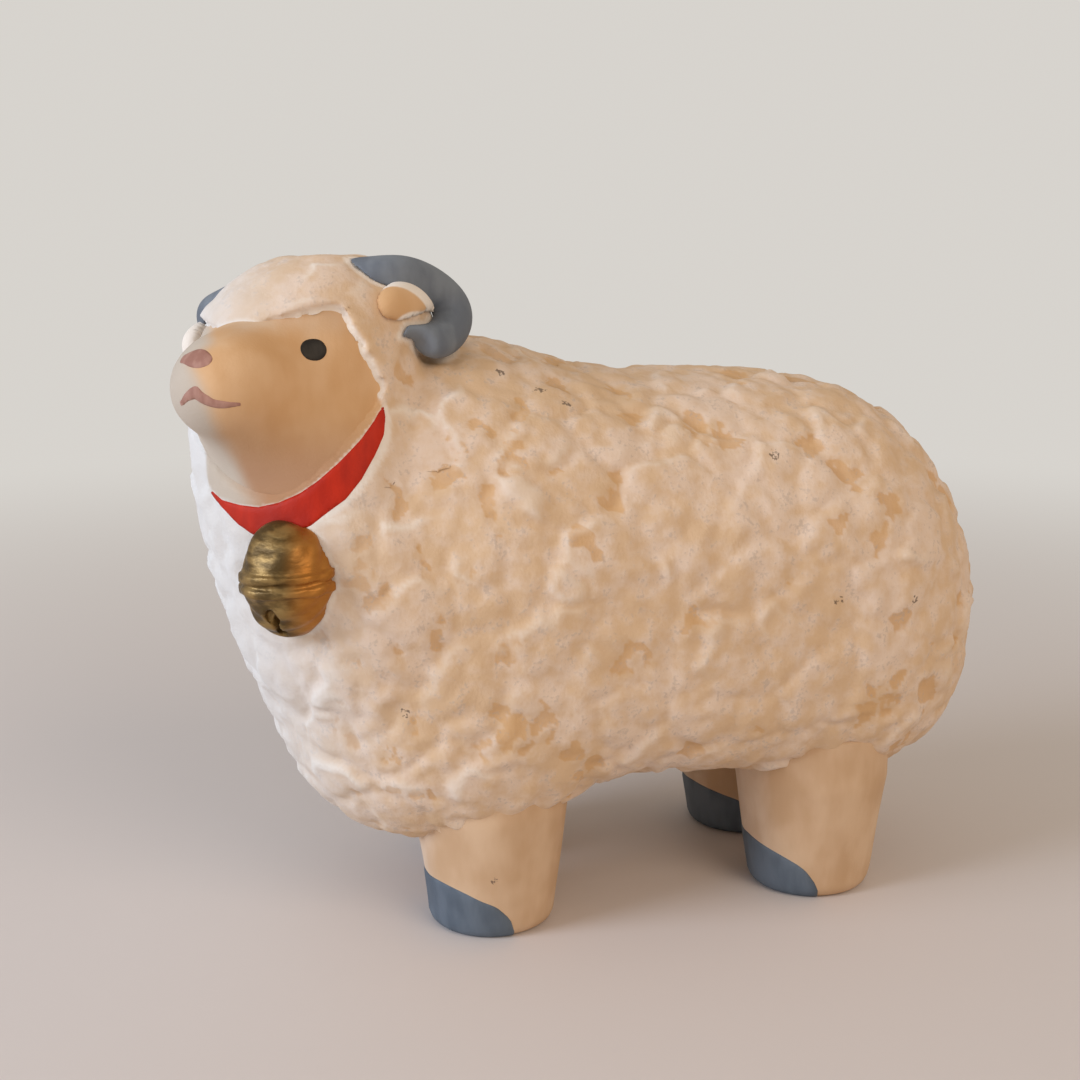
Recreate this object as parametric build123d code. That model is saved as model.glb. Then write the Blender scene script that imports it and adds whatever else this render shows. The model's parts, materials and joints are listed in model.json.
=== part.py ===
from build123d import *
import os
from math import cos, radians, sin

# Painted clay sheep standing on four stub legs, its head turned to its own left.
# All lengths are in millimetres. The animal faces -Y, its left side is +X and Z is up.

# Trunk, hollow, from the breast to the rump
TRUNK_LENGTH = 119.0
TRUNK_WIDTH = 64.0
TRUNK_HEIGHT = 77.5
BREAST_CLEARANCE = 12.0
WALL = 4.5
VENT_DIAMETER = 4.0

# Each row: place along the length, underside and topline in the height, width
TRUNK_SHARES = [
    (0.005, 0.310, 0.542, 0.20),
    (0.020, 0.232, 0.632, 0.37),
    (0.054, 0.130, 0.774, 0.59),
    (0.113, 0.040, 0.916, 0.79),
    (0.200, 0.000, 1.000, 0.94),
    (0.300, 0.008, 1.000, 1.00),
    (0.433, 0.100, 0.942, 1.00),
    (0.583, 0.098, 0.928, 0.99),
    (0.725, 0.082, 0.916, 0.97),
    (0.820, 0.072, 0.880, 0.94),
    (0.890, 0.090, 0.812, 0.825),
    (0.940, 0.145, 0.722, 0.68),
    (0.975, 0.225, 0.615, 0.48),
    (0.995, 0.305, 0.500, 0.24),
]
# How square each section is below and above its widest line, two being a plain oval
FLANK_POWER = 3.2
BACK_POWER = 2.2
SECTION_STEPS = 16

# Neck and head, a leaning column of round sections that ends in the crown
HEAD_YAW = 50.0
HEAD_ROLL = 11.0
HEAD_PIVOT_DROP = 16.2
HEAD_OFFSET = 6.0
HEAD_SETBACK = 8.3
HEAD_DIAMETER = 35.0
CROWN_HEIGHT = 101.2
NECK_FOOT_HEIGHT = 37.0
NECK_FOOT_OFFSET = 4.0
NECK_LEAN = 17.7
FLEECE = 1.2

# Each row: place in the height, share of the lean, diameter
NECK_SHARES = [
    (0.000, 0.00, 1.370),
    (0.188, 0.20, 1.457),
    (0.313, 0.37, 1.410),
    (0.439, 0.60, 1.245),
    (0.564, 0.80, 1.086),
    (0.690, 0.93, 0.985),
    (0.800, 0.95, 0.900),
    (0.886, 0.90, 0.760),
    (0.948, 0.84, 0.550),
    (0.987, 0.80, 0.280),
]

# Muzzle
MUZZLE_STANDOFF = 8.6
MUZZLE_LENGTH = 22.0
MUZZLE_WIDTH = 18.0
MUZZLE_DEPTH = 16.0
MUZZLE_DROP = 17.2

# Joint between neck and head under the collar, a plane that rises towards the nape
CHIN_DROP = 32.7
CHIN_STANDOFF = 2.5
JOINT_DROP = 3.2
NECK_TILT = 24.0

# Smooth face inside the fleece hood
FACE_WIDTH = 33.0
FACE_HEIGHT = 27.0
# Each row: place across the face from its middle, place up from the chin
FACE_SIDE_SHARES = [
    (0.41, 0.90),
    (0.49, 0.64),
    (0.50, 0.37),
    (0.42, 0.21),
    (0.28, 0.05),
    (0.10, -0.03),
    (-0.08, 0.06),
    (-0.26, 0.27),
    (-0.43, 0.54),
    (-0.50, 0.80),
    (-0.40, 1.02),
]
BROW_PEAK_SHARE = 0.83
BROW_LEFT_SHARE = 0.88
BROW_RIGHT_SHARE = 0.94

# Poll, the swelling at the back of the head that carries the ears and the horns
POLL_SWELL = 1.8
POLL_OFFSET = 0.7
POLL_DEPTH = 21.0
POLL_LENGTH = 28.0
POLL_DROP = 11.9
POLL_SETBACK = 3.5

# Ears
EAR_INSET = 2.4
EAR_SETBACK = 3.0
EAR_DROP = 10.0
EAR_LENGTH = 13.0
EAR_WIDTH = 6.4
EAR_THICKNESS = 5.0

# Horns, a curl round the ear
HORN_DIAMETER = 6.5
HORN_CURL_LENGTH = 19.0
HORN_CURL_HEIGHT = 12.2
HORN_STANDOFF = 1.0
HORN_SETBACK = 1.5
HORN_DROP = 10.0
# Each row: out from the head, up and forward of the middle of the curl, thickness
HORN_SHARES = [
    (0.458, 0.46, 0.11, 0.80),
    (0.607, 0.40, 0.04, 0.92),
    (0.779, 0.35, -0.08, 0.98),
    (0.902, 0.18, -0.31, 1.00),
    (0.975, -0.11, -0.45, 1.00),
    (1.000, -0.36, -0.32, 0.92),
    (0.966, -0.43, -0.04, 0.70),
    (0.886, -0.30, 0.13, 0.28),
]

# Collar and bell
COAT = 0.4
COLLAR_LEFT = 16.8
COLLAR_RIGHT = 7.0
COLLAR_LEFT_RISE = 9.2
COLLAR_RIGHT_RISE = 3.4
COLLAR_DROP = 5.2
BELL_YAW = 52.5
BELL_DROP = 43.2
BELL_WIDTH = 12.8
BELL_LENGTH = 16.4
BELL_RELIEF = 6.0
BELL_TILT = 3.0
BELL_LEAN_SHARE = 0.39
BELL_RING_SHARE = 1.40
BAND_WIDTH = 1.1
BAND_GAP = 0.8
BAND_RELIEF = 0.5
BELL_HOLE_DIAMETER = 2.4
BELL_HOLE_DEPTH = 2.0
BELL_SLIT_WIDTH = 0.9

# Eyes, nose and mouth
EYE_LENGTH = 3.1
EYE_WIDTH = 2.7
EYE_ANGLE = 41.0
EYE_DROP = 14.3
NOSE_WIDTH = 5.6
NOSE_DEPTH = 2.6
NOSE_DROP = 13.0
MOUTH_WIDTH = 10.0
MOUTH_DEPTH = 1.8
MOUTH_DROP = 17.4
MOUTH_STROKE = 1.1

# Legs and hooves
LEG_SPREAD_SHARE = 0.21875
FRONT_LEG_REACH = 25.0
REAR_LEG_REACH = 29.0
FRONT_RIGHT_SETBACK = 6.0
FOOT_DIAMETER = 19.0
LEG_DIAMETER = 24.4
LEG_LENGTH = 19.0
FOOT_ROUNDING = 1.6
HOOF_HEIGHT = 8.0
HOOF_WIDTH = 16.5
FRONT_TOE_TURN = 14.0
REAR_TOE_TURN = -8.0
HOOF_LIFT = 0.4


# Round forms shared by the shells, the coats of paint and everything that is set on them
def egg(length_x, length_y, length_z):
    return scale(Sphere(1), by=(length_x / 2, length_y / 2, length_z / 2))


def signed_power(value, power):
    return abs(value) ** power if value > 0 else -abs(value) ** power


def section(half_width, half_height, fullness_share):
    points = []
    for step in range(SECTION_STEPS):
        turn = radians(360 * step / SECTION_STEPS)
        square = BACK_POWER if sin(turn) > 0 else FLANK_POWER
        power = 2 + (square - 2) * fullness_share
        across = half_width * signed_power(cos(turn), 2 / power)
        points.append((across, half_height * signed_power(sin(turn), 2 / power)))
    return make_face(Spline(points, periodic=True))


def trunk(extra):
    reach = TRUNK_LENGTH + 2 * extra
    rings = []
    for along_share, low_share, high_share, wide_share in TRUNK_SHARES:
        low = BREAST_CLEARANCE + TRUNK_HEIGHT * low_share
        high = BREAST_CLEARANCE + TRUNK_HEIGHT * high_share
        centre = (0, -reach / 2 + reach * along_share, (low + high) / 2)
        half_width = TRUNK_WIDTH / 2 * wide_share + extra
        ring = section(half_width, (high - low) / 2 + extra, wide_share**2)
        rings.append(Plane(origin=centre, x_dir=(1, 0, 0), z_dir=(0, -1, 0)) * ring)
    return loft(rings)


# Heights on the head are drops below the crown, and what stands out follows the head's width
pivot_height = CROWN_HEIGHT - HEAD_PIVOT_DROP
muzzle_height = CROWN_HEIGHT - MUZZLE_DROP
muzzle_reach = HEAD_DIAMETER / 2 + MUZZLE_STANDOFF
chin_height = CROWN_HEIGHT - CHIN_DROP
chin_reach = HEAD_DIAMETER / 2 + CHIN_STANDOFF
poll_width = HEAD_DIAMETER + 2 * POLL_SWELL
ear_spread = poll_width / 2 - EAR_INSET
horn_spread = poll_width / 2 + HORN_STANDOFF
mouth_height = CROWN_HEIGHT - MOUTH_DROP
leg_spread = TRUNK_WIDTH * LEG_SPREAD_SHARE

head_x = HEAD_OFFSET
head_y = -TRUNK_LENGTH / 2 + HEAD_SETBACK
forward = (sin(radians(HEAD_YAW)), -cos(radians(HEAD_YAW)), 0)
leftward = (cos(radians(HEAD_YAW)), sin(radians(HEAD_YAW)), 0)
# In this plane X runs to the animal's left, which is raised, Y up and Z forward out of the face
roll = radians(HEAD_ROLL)
raised = (leftward[0] * cos(roll), leftward[1] * cos(roll), sin(roll))
upward = (-leftward[0] * sin(roll), -leftward[1] * sin(roll), cos(roll))
head_foot = (
    head_x - upward[0] * pivot_height,
    head_y - upward[1] * pivot_height,
    pivot_height - upward[2] * pivot_height,
)
head_plane = Plane(origin=head_foot, x_dir=raised, z_dir=forward)


def neck(extra):
    rings = []
    foot_y = head_y + NECK_LEAN
    for up_share, lean_share, wide_share in NECK_SHARES:
        rise = CROWN_HEIGHT + extra - NECK_FOOT_HEIGHT
        centre_x = NECK_FOOT_OFFSET + (head_x - NECK_FOOT_OFFSET) * lean_share
        centre = (centre_x, foot_y - NECK_LEAN * lean_share, NECK_FOOT_HEIGHT + rise * up_share)
        rings.append(Plane(origin=centre) * Circle(HEAD_DIAMETER / 2 * wide_share + extra))
    return loft(rings)


def muzzle(extra):
    grow = 2 * extra
    middle = muzzle_reach - MUZZLE_LENGTH / 2
    shape = egg(MUZZLE_WIDTH + grow, MUZZLE_DEPTH + grow, MUZZLE_LENGTH + grow)
    return head_plane * Pos(0, muzzle_height, middle) * shape


def poll():
    place = Pos(POLL_OFFSET, CROWN_HEIGHT - POLL_DROP, -POLL_SETBACK)
    return head_plane * place * egg(poll_width, POLL_DEPTH, POLL_LENGTH)


def skull(extra):
    return neck(extra) + muzzle(extra)


def skin(extra):
    return trunk(extra) + neck(FLEECE + extra)


# Region of the smooth face, drawn from the front
def face_point(across_share, up_share):
    return (FACE_WIDTH * across_share, chin_height + FACE_HEIGHT * up_share)


side_points = [face_point(across, up) for across, up in FACE_SIDE_SHARES]
brow_share = FACE_SIDE_SHARES[0][0] / 2
brow_left = ThreePointArc(
    face_point(0, BROW_PEAK_SHARE), face_point(brow_share, BROW_LEFT_SHARE), side_points[0]
)
brow_right = ThreePointArc(
    side_points[-1], face_point(-brow_share, BROW_RIGHT_SHARE), face_point(0, BROW_PEAK_SHARE)
)
face_outline = make_face(Curve() + [brow_left, Spline(side_points), brow_right])
face_region = head_plane * extrude(face_outline, 2 * HEAD_DIAMETER)

# Shells
outer = skin(0)
skull_outer = skull(0)
cavity = trunk(-WALL) + neck(-WALL)
joint_origin = head_plane.from_local_coords(Vector(0, chin_height - JOINT_DROP, chin_reach))
tilt = radians(NECK_TILT)
joint_normal = (forward[0] * sin(tilt), forward[1] * sin(tilt), cos(tilt))
joint_plane = Plane(origin=joint_origin, x_dir=leftward, z_dir=joint_normal)

vent = Cylinder(VENT_DIAMETER / 2, 2 * BREAST_CLEARANCE + 2 * WALL)
body = split(outer, bisect_by=joint_plane, keep=Keep.BOTTOM) - cavity
body = body - Pos(0, 0, BREAST_CLEARANCE + WALL) * vent


def largest(shape):
    return shape.solids().sort_by(SortBy.VOLUME)[-1]


body_left = largest(split(body, bisect_by=Plane.YZ, keep=Keep.TOP))
body_right = largest(split(body, bisect_by=Plane.YZ, keep=Keep.BOTTOM))

head = split(skull_outer, bisect_by=joint_plane, keep=Keep.TOP) - cavity
hood_outer = outer + poll()
hood = split(hood_outer, bisect_by=joint_plane, keep=Keep.TOP) - skull_outer - cavity
head_fleece = largest(hood - face_region)

PARTS = {
    "body_left_half": body_left,
    "body_right_half": body_right,
    "head": largest(head),
    "head_fleece": head_fleece,
}


# Ears and horns, made for the left side and mirrored in the middle plane of the poll
def ear(side):
    shape = egg(EAR_THICKNESS, EAR_WIDTH, EAR_LENGTH)
    place = Pos(POLL_OFFSET + side * ear_spread, CROWN_HEIGHT - EAR_DROP, -EAR_SETBACK)
    return head_plane * place * shape


def horn():
    places = []
    for out_share, up_share, along_share, thick_share in HORN_SHARES:
        across = POLL_OFFSET + horn_spread * out_share
        up = CROWN_HEIGHT - HORN_DROP + HORN_CURL_HEIGHT * up_share
        ahead = -HORN_SETBACK + HORN_CURL_LENGTH * along_share
        places.append(head_plane.from_local_coords(Vector(across, up, ahead)))
    path = Spline(places)
    rings = []
    for place, shares in zip(places, HORN_SHARES):
        way = path.tangent_at(path.param_at_point(place))
        rings.append(Plane(origin=place, z_dir=way) * Circle(HORN_DIAMETER / 2 * shares[3]))
    return loft(rings)


horn_left = horn()
poll_foot = head_plane.from_local_coords(Vector(POLL_OFFSET, 0, 0))
horn_right = mirror(horn_left, about=Plane(origin=poll_foot, z_dir=raised))
for hand, side, horn_solid in (("left", 1, horn_left), ("right", -1, horn_right)):
    ear_solid = ear(side)
    PARTS["ear_" + hand] = largest(ear_solid - hood_outer)
    PARTS["horn_" + hand] = largest(horn_solid - hood_outer - ear_solid)

# Collar, a crescent under the chin that lies on the fleece
collar_left = (COLLAR_LEFT, chin_height + COLLAR_LEFT_RISE)
collar_right = (-COLLAR_RIGHT, chin_height + COLLAR_RIGHT_RISE)
collar_low = ((COLLAR_LEFT - COLLAR_RIGHT) / 2, chin_height - COLLAR_DROP)
collar_arc = ThreePointArc(collar_left, collar_low, collar_right)
collar_outline = make_face(Curve() + [collar_arc, Line(collar_right, collar_left)])
collar_region = head_plane * extrude(collar_outline, 2 * HEAD_DIAMETER) - face_region
coat_outer = skin(COAT)
collar = largest((collar_region & coat_outer) - hood_outer)

# Bell on the breast, a jingle bell in relief with a double band, a hole and a slit
bell_way = (sin(radians(BELL_YAW)), -cos(radians(BELL_YAW)), 0)
bell_side = (cos(radians(BELL_YAW)), sin(radians(BELL_YAW)), 0)
bell_reach = HEAD_DIAMETER / 2 * BELL_RING_SHARE + FLEECE
bell_place = (
    NECK_FOOT_OFFSET + (head_x - NECK_FOOT_OFFSET) * BELL_LEAN_SHARE + bell_way[0] * bell_reach,
    head_y + NECK_LEAN * (1 - BELL_LEAN_SHARE) + bell_way[1] * bell_reach,
    CROWN_HEIGHT - BELL_DROP,
)
bell_plane = Plane(origin=bell_place, x_dir=bell_side, z_dir=bell_way).rotated((BELL_TILT, 0, 0))
bell_ball = egg(BELL_WIDTH, BELL_LENGTH, 2 * BELL_RELIEF)
band_ball = egg(
    BELL_WIDTH + 2 * BAND_RELIEF, BELL_LENGTH + 2 * BAND_RELIEF, 2 * BELL_RELIEF + 2 * BAND_RELIEF
)
band_slab = Box(2 * BELL_WIDTH, BAND_WIDTH, 4 * BELL_RELIEF)
band_step = (BAND_GAP + BAND_WIDTH) / 2
bands = band_ball & (Pos(0, band_step, 0) * band_slab + Pos(0, -band_step, 0) * band_slab)
hole_drop = -BAND_GAP - BAND_WIDTH - BELL_HOLE_DIAMETER
hole = Pos(0, hole_drop, BELL_RELIEF) * Cylinder(BELL_HOLE_DIAMETER / 2, 2 * BELL_HOLE_DEPTH)
slit_length = BELL_LENGTH / 2 + hole_drop
slit = Box(BELL_SLIT_WIDTH, slit_length, 2 * BELL_RELIEF)
slit = Pos(0, hole_drop - slit_length / 2, BELL_RELIEF + BELL_HOLE_DEPTH) * slit
bell = bell_plane * (bell_ball + bands - hole - slit)
PARTS["bell"] = largest(bell - outer - collar)
PARTS["collar"] = largest(collar - bell)


# Eyes, nose and mouth, thin coats of colour on the smooth face
skull_coat = skull(COAT)
for hand, side in (("left", 1), ("right", -1)):
    eye_spot = extrude(Ellipse(EYE_LENGTH / 2, EYE_WIDTH / 2), HEAD_DIAMETER)
    eye_region = head_plane * Pos(0, CROWN_HEIGHT - EYE_DROP, 0) * Rot(0, EYE_ANGLE * side, 0) * eye_spot
    PARTS["eye_" + hand] = largest((eye_region & skull_coat) - skull_outer)

nose_spot = Pos(0, CROWN_HEIGHT - NOSE_DROP) * Ellipse(NOSE_WIDTH / 2, NOSE_DEPTH / 2)
nose_region = head_plane * extrude(nose_spot, 2 * HEAD_DIAMETER)
PARTS["nose"] = largest((nose_region & skull_coat) - skull_outer)

mouth_top = (0, mouth_height)
mouth_arcs = []
for side in (1, -1):
    corner = (side * MOUTH_WIDTH / 2, mouth_height - MOUTH_DEPTH)
    bend = (side * MOUTH_WIDTH / 4, mouth_height - MOUTH_DEPTH)
    mouth_arcs.append(ThreePointArc(mouth_top, bend, corner))
mouth_face = trace(mouth_arcs, line_width=MOUTH_STROKE)
mouth_region = head_plane * extrude(mouth_face, 2 * HEAD_DIAMETER)
PARTS["mouth"] = largest((mouth_region & skull_coat) - skull_outer)


# Legs and the slate coats on their toes
def leg_form(extra):
    low = FOOT_DIAMETER / 2 + extra
    high = LEG_DIAMETER / 2 + extra
    foot = Align.CENTER, Align.CENTER, Align.MIN
    cone = Cone(low, high, LEG_LENGTH, align=foot)
    stub = fillet(cone.edges().sort_by(Axis.Z)[0], FOOT_ROUNDING + extra)
    return stub + Pos(0, 0, LEG_LENGTH) * Cylinder(high, LEG_LENGTH, align=foot)


leg_solid = leg_form(0)
hoof_arch = extrude(Ellipse(HOOF_WIDTH / 2, HOOF_HEIGHT), FOOT_DIAMETER)
hoof_region = Plane(origin=(0, 0, 0), x_dir=(1, 0, 0), z_dir=(0, -1, 0)) * hoof_arch
hoof_block = Box(2 * LEG_DIAMETER, 2 * LEG_DIAMETER, 2 * HOOF_HEIGHT)
hoof_floor = Pos(0, 0, HOOF_LIFT + HOOF_HEIGHT) * hoof_block
hoof_solid = largest((hoof_region & leg_form(COAT) & hoof_floor) - leg_solid)
feet = {
    "front_left": (leg_spread, -FRONT_LEG_REACH, FRONT_TOE_TURN),
    "front_right": (-leg_spread, FRONT_RIGHT_SETBACK - FRONT_LEG_REACH, -FRONT_TOE_TURN),
    "rear_left": (leg_spread, REAR_LEG_REACH, REAR_TOE_TURN),
    "rear_right": (-leg_spread, REAR_LEG_REACH, -REAR_TOE_TURN),
}
for place, (across, along, toe_turn) in feet.items():
    PARTS["leg_" + place] = largest(Pos(across, along, 0) * leg_solid - outer)
    PARTS["hoof_" + place] = Pos(across, along, 0) * Rot(0, 0, toe_turn) * hoof_solid

# The origin is put under the middle of the whole figure, on the ground
boxes = [part.bounding_box() for part in PARTS.values()]
low_x = min(box.min.X for box in boxes)
high_x = max(box.max.X for box in boxes)
low_y = min(box.min.Y for box in boxes)
high_y = max(box.max.Y for box in boxes)
shift = Pos(-(low_x + high_x) / 2, -(low_y + high_y) / 2, 0)
os.makedirs("parts", exist_ok=True)
for name, part in PARTS.items():
    export_step(shift * part, "parts/" + name + ".step")
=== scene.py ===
import json
import math

import bmesh
import bpy
import numpy as np
from mathutils import Matrix, Vector
from mathutils.bvhtree import BVHTree


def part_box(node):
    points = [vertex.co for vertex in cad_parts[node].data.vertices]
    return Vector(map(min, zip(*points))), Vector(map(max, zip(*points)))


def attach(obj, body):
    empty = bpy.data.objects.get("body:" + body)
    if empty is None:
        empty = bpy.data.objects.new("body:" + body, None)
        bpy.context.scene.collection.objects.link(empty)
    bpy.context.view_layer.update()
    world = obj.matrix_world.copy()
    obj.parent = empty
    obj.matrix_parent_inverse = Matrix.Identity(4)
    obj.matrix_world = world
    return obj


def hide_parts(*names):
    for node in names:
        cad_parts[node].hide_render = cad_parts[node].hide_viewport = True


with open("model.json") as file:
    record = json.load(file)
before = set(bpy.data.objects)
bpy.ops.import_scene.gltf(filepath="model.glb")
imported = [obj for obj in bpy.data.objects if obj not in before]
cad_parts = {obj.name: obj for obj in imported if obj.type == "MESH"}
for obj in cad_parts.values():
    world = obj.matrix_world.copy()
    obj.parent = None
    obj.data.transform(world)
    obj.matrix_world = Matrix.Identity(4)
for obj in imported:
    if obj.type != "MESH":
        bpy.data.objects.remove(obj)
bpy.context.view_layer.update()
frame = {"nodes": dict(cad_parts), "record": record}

# Painted clay sheep: a hollow skin of lumpy whitewashed fleece, a smooth tan face, slate horns and
# toes, a red collar and a gold bell. Lengths are in millimetres here and become metres in the meshes.
MM = 0.001

# Camera, read from the photograph, whose frame is square
FRAME_PX = 1080
CAMERA_PLACE_MM = (228.5, -70.7, 102.5)
CAMERA_TURN_DEG = 15.5
CAMERA_PITCH_DEG = 11.0
LENS_MM = 50.0
SENSOR_MM = 36.0
CLIP_M = (0.01, 20)

# Clay skin: size of its even mesh, rounds of smoothing, walls and the plug in the vent hole
SKIN_VOXEL_MM = 0.62
HEAD_VOXEL_MM = 0.42
SMALL_VOXEL_MM = 0.24
SKIN_SMOOTHING = 4
HEAD_SMOOTHING = 40
SMALL_SMOOTHING = 6
BELL_SMOOTHING = 2
EASE_FACTOR = 0.5
MERGE_MM = 0.002
BODY_WALL_MM = 3.0
HOOD_WALL_MM = 0.6
REST_DEPTH_MM = 1.0
VENT_PLACE_MM = (0.08, 7.86)
# Radius, bottom and top of the plug
VENT_PLUG_MM = (3.0, 22.6, 27.0)
VENT_SIDES = 24
SKIN_NODES = ("body_left_half", "body_right_half", "head_fleece", "head")
OWNER_BIAS_MM = 0.02

# Ledges are eased away from the head; the relief is calmer beside face and collar and on the crown
EASE_ROUNDS = 98
EASE_FROM_HEAD_MM = (2.0, 7.0)
EDGE_ROUNDS = 10
FACE_EDGE_MM = 0.3
RELIEF_EDGE_ROUNDS = 50
RELIEF_EDGE_MM = (0.45, 1.5)
COLLAR_CALM_MM = (0.5, 3.5)
COLLAR_CALM_SHARE = 0.2
CROWN_CALM_MM = (82.0, 94.0)
CROWN_CALM_SHARE = 0.6

# Thick white beside the painted parts, and the strip of face paint between face and collar
MARGIN_MM = (0.3, 0.9)
MARGIN_SHARE = 0.8
CHEEK_MM = (3.0, 4.0)
CHEEK_TOP_MM = 84.0
CHEEK_SOFT_MM = (0.2, -0.2)

# Values kept at each point of the skin: where its core lies, and what its paint goes by
REST_NAMES = ("rest_x", "rest_y", "rest_z")
SHOWN_NAMES = ("ridge", "bare", "margin", "wool", "cheek", "pale")

# Face, ears and bell. A tremor is its depth and its size
HEAD_FILL_MM = 9.0
FILL_STEPS = 5
FILL_SMOOTHING = 8
HEAD_GROWTH_MM = 0.22
EAR_GROWTH_MM = {"left": 0.55, "right": 0.9}
EAR_RIM_MM = (1.4, 2.2)
BELL_TREMOR_MM = (0.32, 2.6)

# Pale on the face, wash and painted light: where its front edge ends in the photograph, how softly, how much
# wash is on the brow, and painted light on the far side
PALE_LINE_PX = ((210, 300), (207, 343), (187, 364), (209, 421), (248, 498))
PALE_FADE_PX = (24, -16)
BROW_WASH_PX = (366, 316)
BROW_WASH_SHARE = 0.42
# Painted light on the side of the face turned away from the camera
FAR_SIDE_PAINTED_LIGHT = (0.0, 0.4)

# Legs: sole, root and height of the cone, rounding at the sole
SOLE_RADIUS_MM = 9.5
ROOT_RADIUS_MM = 12.2
ROOT_HEIGHT_MM = 19.0
LEG_TOP_MM = 27.0
SOLE_ROUNDING_MM = 1.6
SOLE_ROWS_MM = (0.0, 0.1, 0.35, 0.8)
LEG_ROWS_FROM_MM = 2.4
LEG_ROWS = 44
LEG_SIDES = 96
# Each row of finger presses: waves around the leg, depth, and twist for each millimetre of height
LEG_PRESSES = ((2, 0.16, 0.08), (3, 0.09, -0.21), (5, 0.05, 0.37))
PRESS_TURN = 3
PRESS_START_MM = 3.0
# Painted light on each leg's front edge: its share, and how far round it reaches
LEG_LIGHT_SHARE = 0.45
LEG_LIGHT_REACH_SHARE = 0.35

# Coats of paint: thickness, width of the thin edge, how far a coat reaches into the clay
COAT_MM = 0.14
COAT_EDGE_MM = 0.35
COAT_ROOT_MM = 0.25
COAT_LEAST_MM = 0.02
COAT_REACH_MM = 2.0
COAT_FACING = -0.02
CUT_LEAST_MM = 0.004
OUTLINE_REACH_MM = 5.0
FAR_MM = 9.0

# Dabs for eyes and nose, and the arched patches on the toes
EYE_MM = (3.7, 3.2)
EYE_TREMOR_MM = (0.05, 1.2)
NOSE_MM = (5.4, 2.9)
NOSE_TREMOR_MM = (0.25, 1.2)
NOSE_SEED = 3.0
OVAL_DEPTH_MM = 3.0
TOE_HALF_TURN_DEG = 84.0
TOE_HEIGHT_MM = 8.6
TOE_REACH_SHARE = 1.3
TOE_ROUNDNESS = 2.2
TOE_SLANT_SHARE = 0.8
TOE_TREMOR_MM = (0.15, 3.0)
TOE_SEED_STEP = 1.7
TOE_TURN_DEG = {"front_left": 14, "front_right": -14, "rear_left": -8, "rear_right": 8}

# The hand's tremor: waves along three slanting directions, where each starts, and a steady hand
TREMOR_WAVES = ((2.1, 0.0, 1.3), (0.0, 1.7, -2.3), (3.9, -3.1, 4.3))
TREMOR_STARTS = (0.0, 1.1, 0.0)
STEADY_MM = (0.0, 1.0)

# Outlines of the brushed collar, the strip of face above it and the mouth in the photograph
COLLAR_OUTLINE_PX = [
    (206, 486), (222, 500), (240, 505), (258, 507), (278, 503), (300, 493), (318, 481), (337, 464),
    (360, 440), (374, 421), (383, 405), (386, 418), (384, 434), (375, 455), (362, 479), (346, 499),
    (330, 511), (312, 525), (290, 535), (266, 538), (252, 534), (239, 525), (222, 508),
]
COLLAR_TREMOR_MM = (0.08, 1.5)
COLLAR_SEED = 2.0
CHEEK_OUTLINE_PX = [
    (206, 430), (206, 486), (222, 500), (240, 505), (258, 507), (278, 503), (300, 493), (318, 481),
    (337, 464), (360, 440), (374, 421), (383, 405), (330, 330), (215, 360),
]
MOUTH_NEAR_PX = [(196, 392), (203, 399), (216, 404), (229, 405), (240, 404)]
MOUTH_FAR_PX = [(196, 392), (188, 396), (181, 404), (176, 412)]
MOUTH_STROKE_MM = (0.75, 0.25)
MOUTH_THINNING = 1.5
MOUTH_TREMOR_MM = (0.1, 1.0)
MOUTH_SEED = 5.0
CORNER_CUT_SHARE = 0.25


# Camera geometry
turn = math.radians(CAMERA_TURN_DEG)
pitch = math.radians(CAMERA_PITCH_DEG)
FOCAL_PX = FRAME_PX * LENS_MM / SENSOR_MM
EYE_POINT = Vector(CAMERA_PLACE_MM) * MM
RIGHTWARD = Vector((math.sin(turn), math.cos(turn), 0))
AHEAD = Vector((-math.cos(turn), math.sin(turn), 0))
LOOK = AHEAD * math.cos(pitch) - Vector((0, 0, math.sin(pitch)))
UPWARD = RIGHTWARD.cross(LOOK)


def make_camera():
    data = bpy.data.cameras.new("camera")
    data.lens = LENS_MM
    data.sensor_width = SENSOR_MM
    data.clip_start, data.clip_end = CLIP_M
    camera = bpy.data.objects.new("camera", data)
    axes = Matrix((RIGHTWARD, UPWARD, -LOOK)).transposed().to_4x4()
    camera.matrix_world = Matrix.Translation(EYE_POINT) @ axes
    bpy.context.scene.collection.objects.link(camera)
    bpy.context.scene.camera = camera


def pixel_ray(px):
    across = (px[0] - FRAME_PX / 2) / FOCAL_PX
    up = (FRAME_PX / 2 - px[1]) / FOCAL_PX
    return (LOOK + RIGHTWARD * across + UPWARD * up).normalized()


def pixels_of(points):
    """Pixels in the photograph, and depth in metres, of points in metres."""
    offset = points - np.array(EYE_POINT)
    depth = offset @ np.array(LOOK)
    across = FRAME_PX / 2 + FOCAL_PX * (offset @ np.array(RIGHTWARD)) / depth
    down = FRAME_PX / 2 - FOCAL_PX * (offset @ np.array(UPWARD)) / depth
    return np.stack([across, down], 1), depth


# Nodes: one helper for every tree
def add(tree, kind, inputs=None, **settings):
    """Adds a node with its settings; an input is a value, an output, or a node for its first output."""
    made = tree.nodes.new(kind)
    for name, value in settings.items():
        setattr(made, name, value)
    for key, value in (inputs or {}).items():
        if isinstance(value, bpy.types.Node):
            value = value.outputs[0]
        if isinstance(value, bpy.types.NodeSocket):
            tree.links.new(value, made.inputs[key])
        else:
            made.inputs[key].default_value = value
    return made


def linear(hex_code):
    """Linear colour with alpha from an sRGB hex code."""
    parts = [int(hex_code[i:i + 2], 16) / 255 for i in (1, 3, 5)]
    return tuple(c / 12.92 if c <= 0.04045 else ((c + 0.055) / 1.055) ** 2.4 for c in parts) + (1.0,)


# Meshes
def new_piece(name, mesh):
    piece = bpy.data.objects.new(name, mesh)
    bpy.context.scene.collection.objects.link(piece)
    return piece


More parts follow.
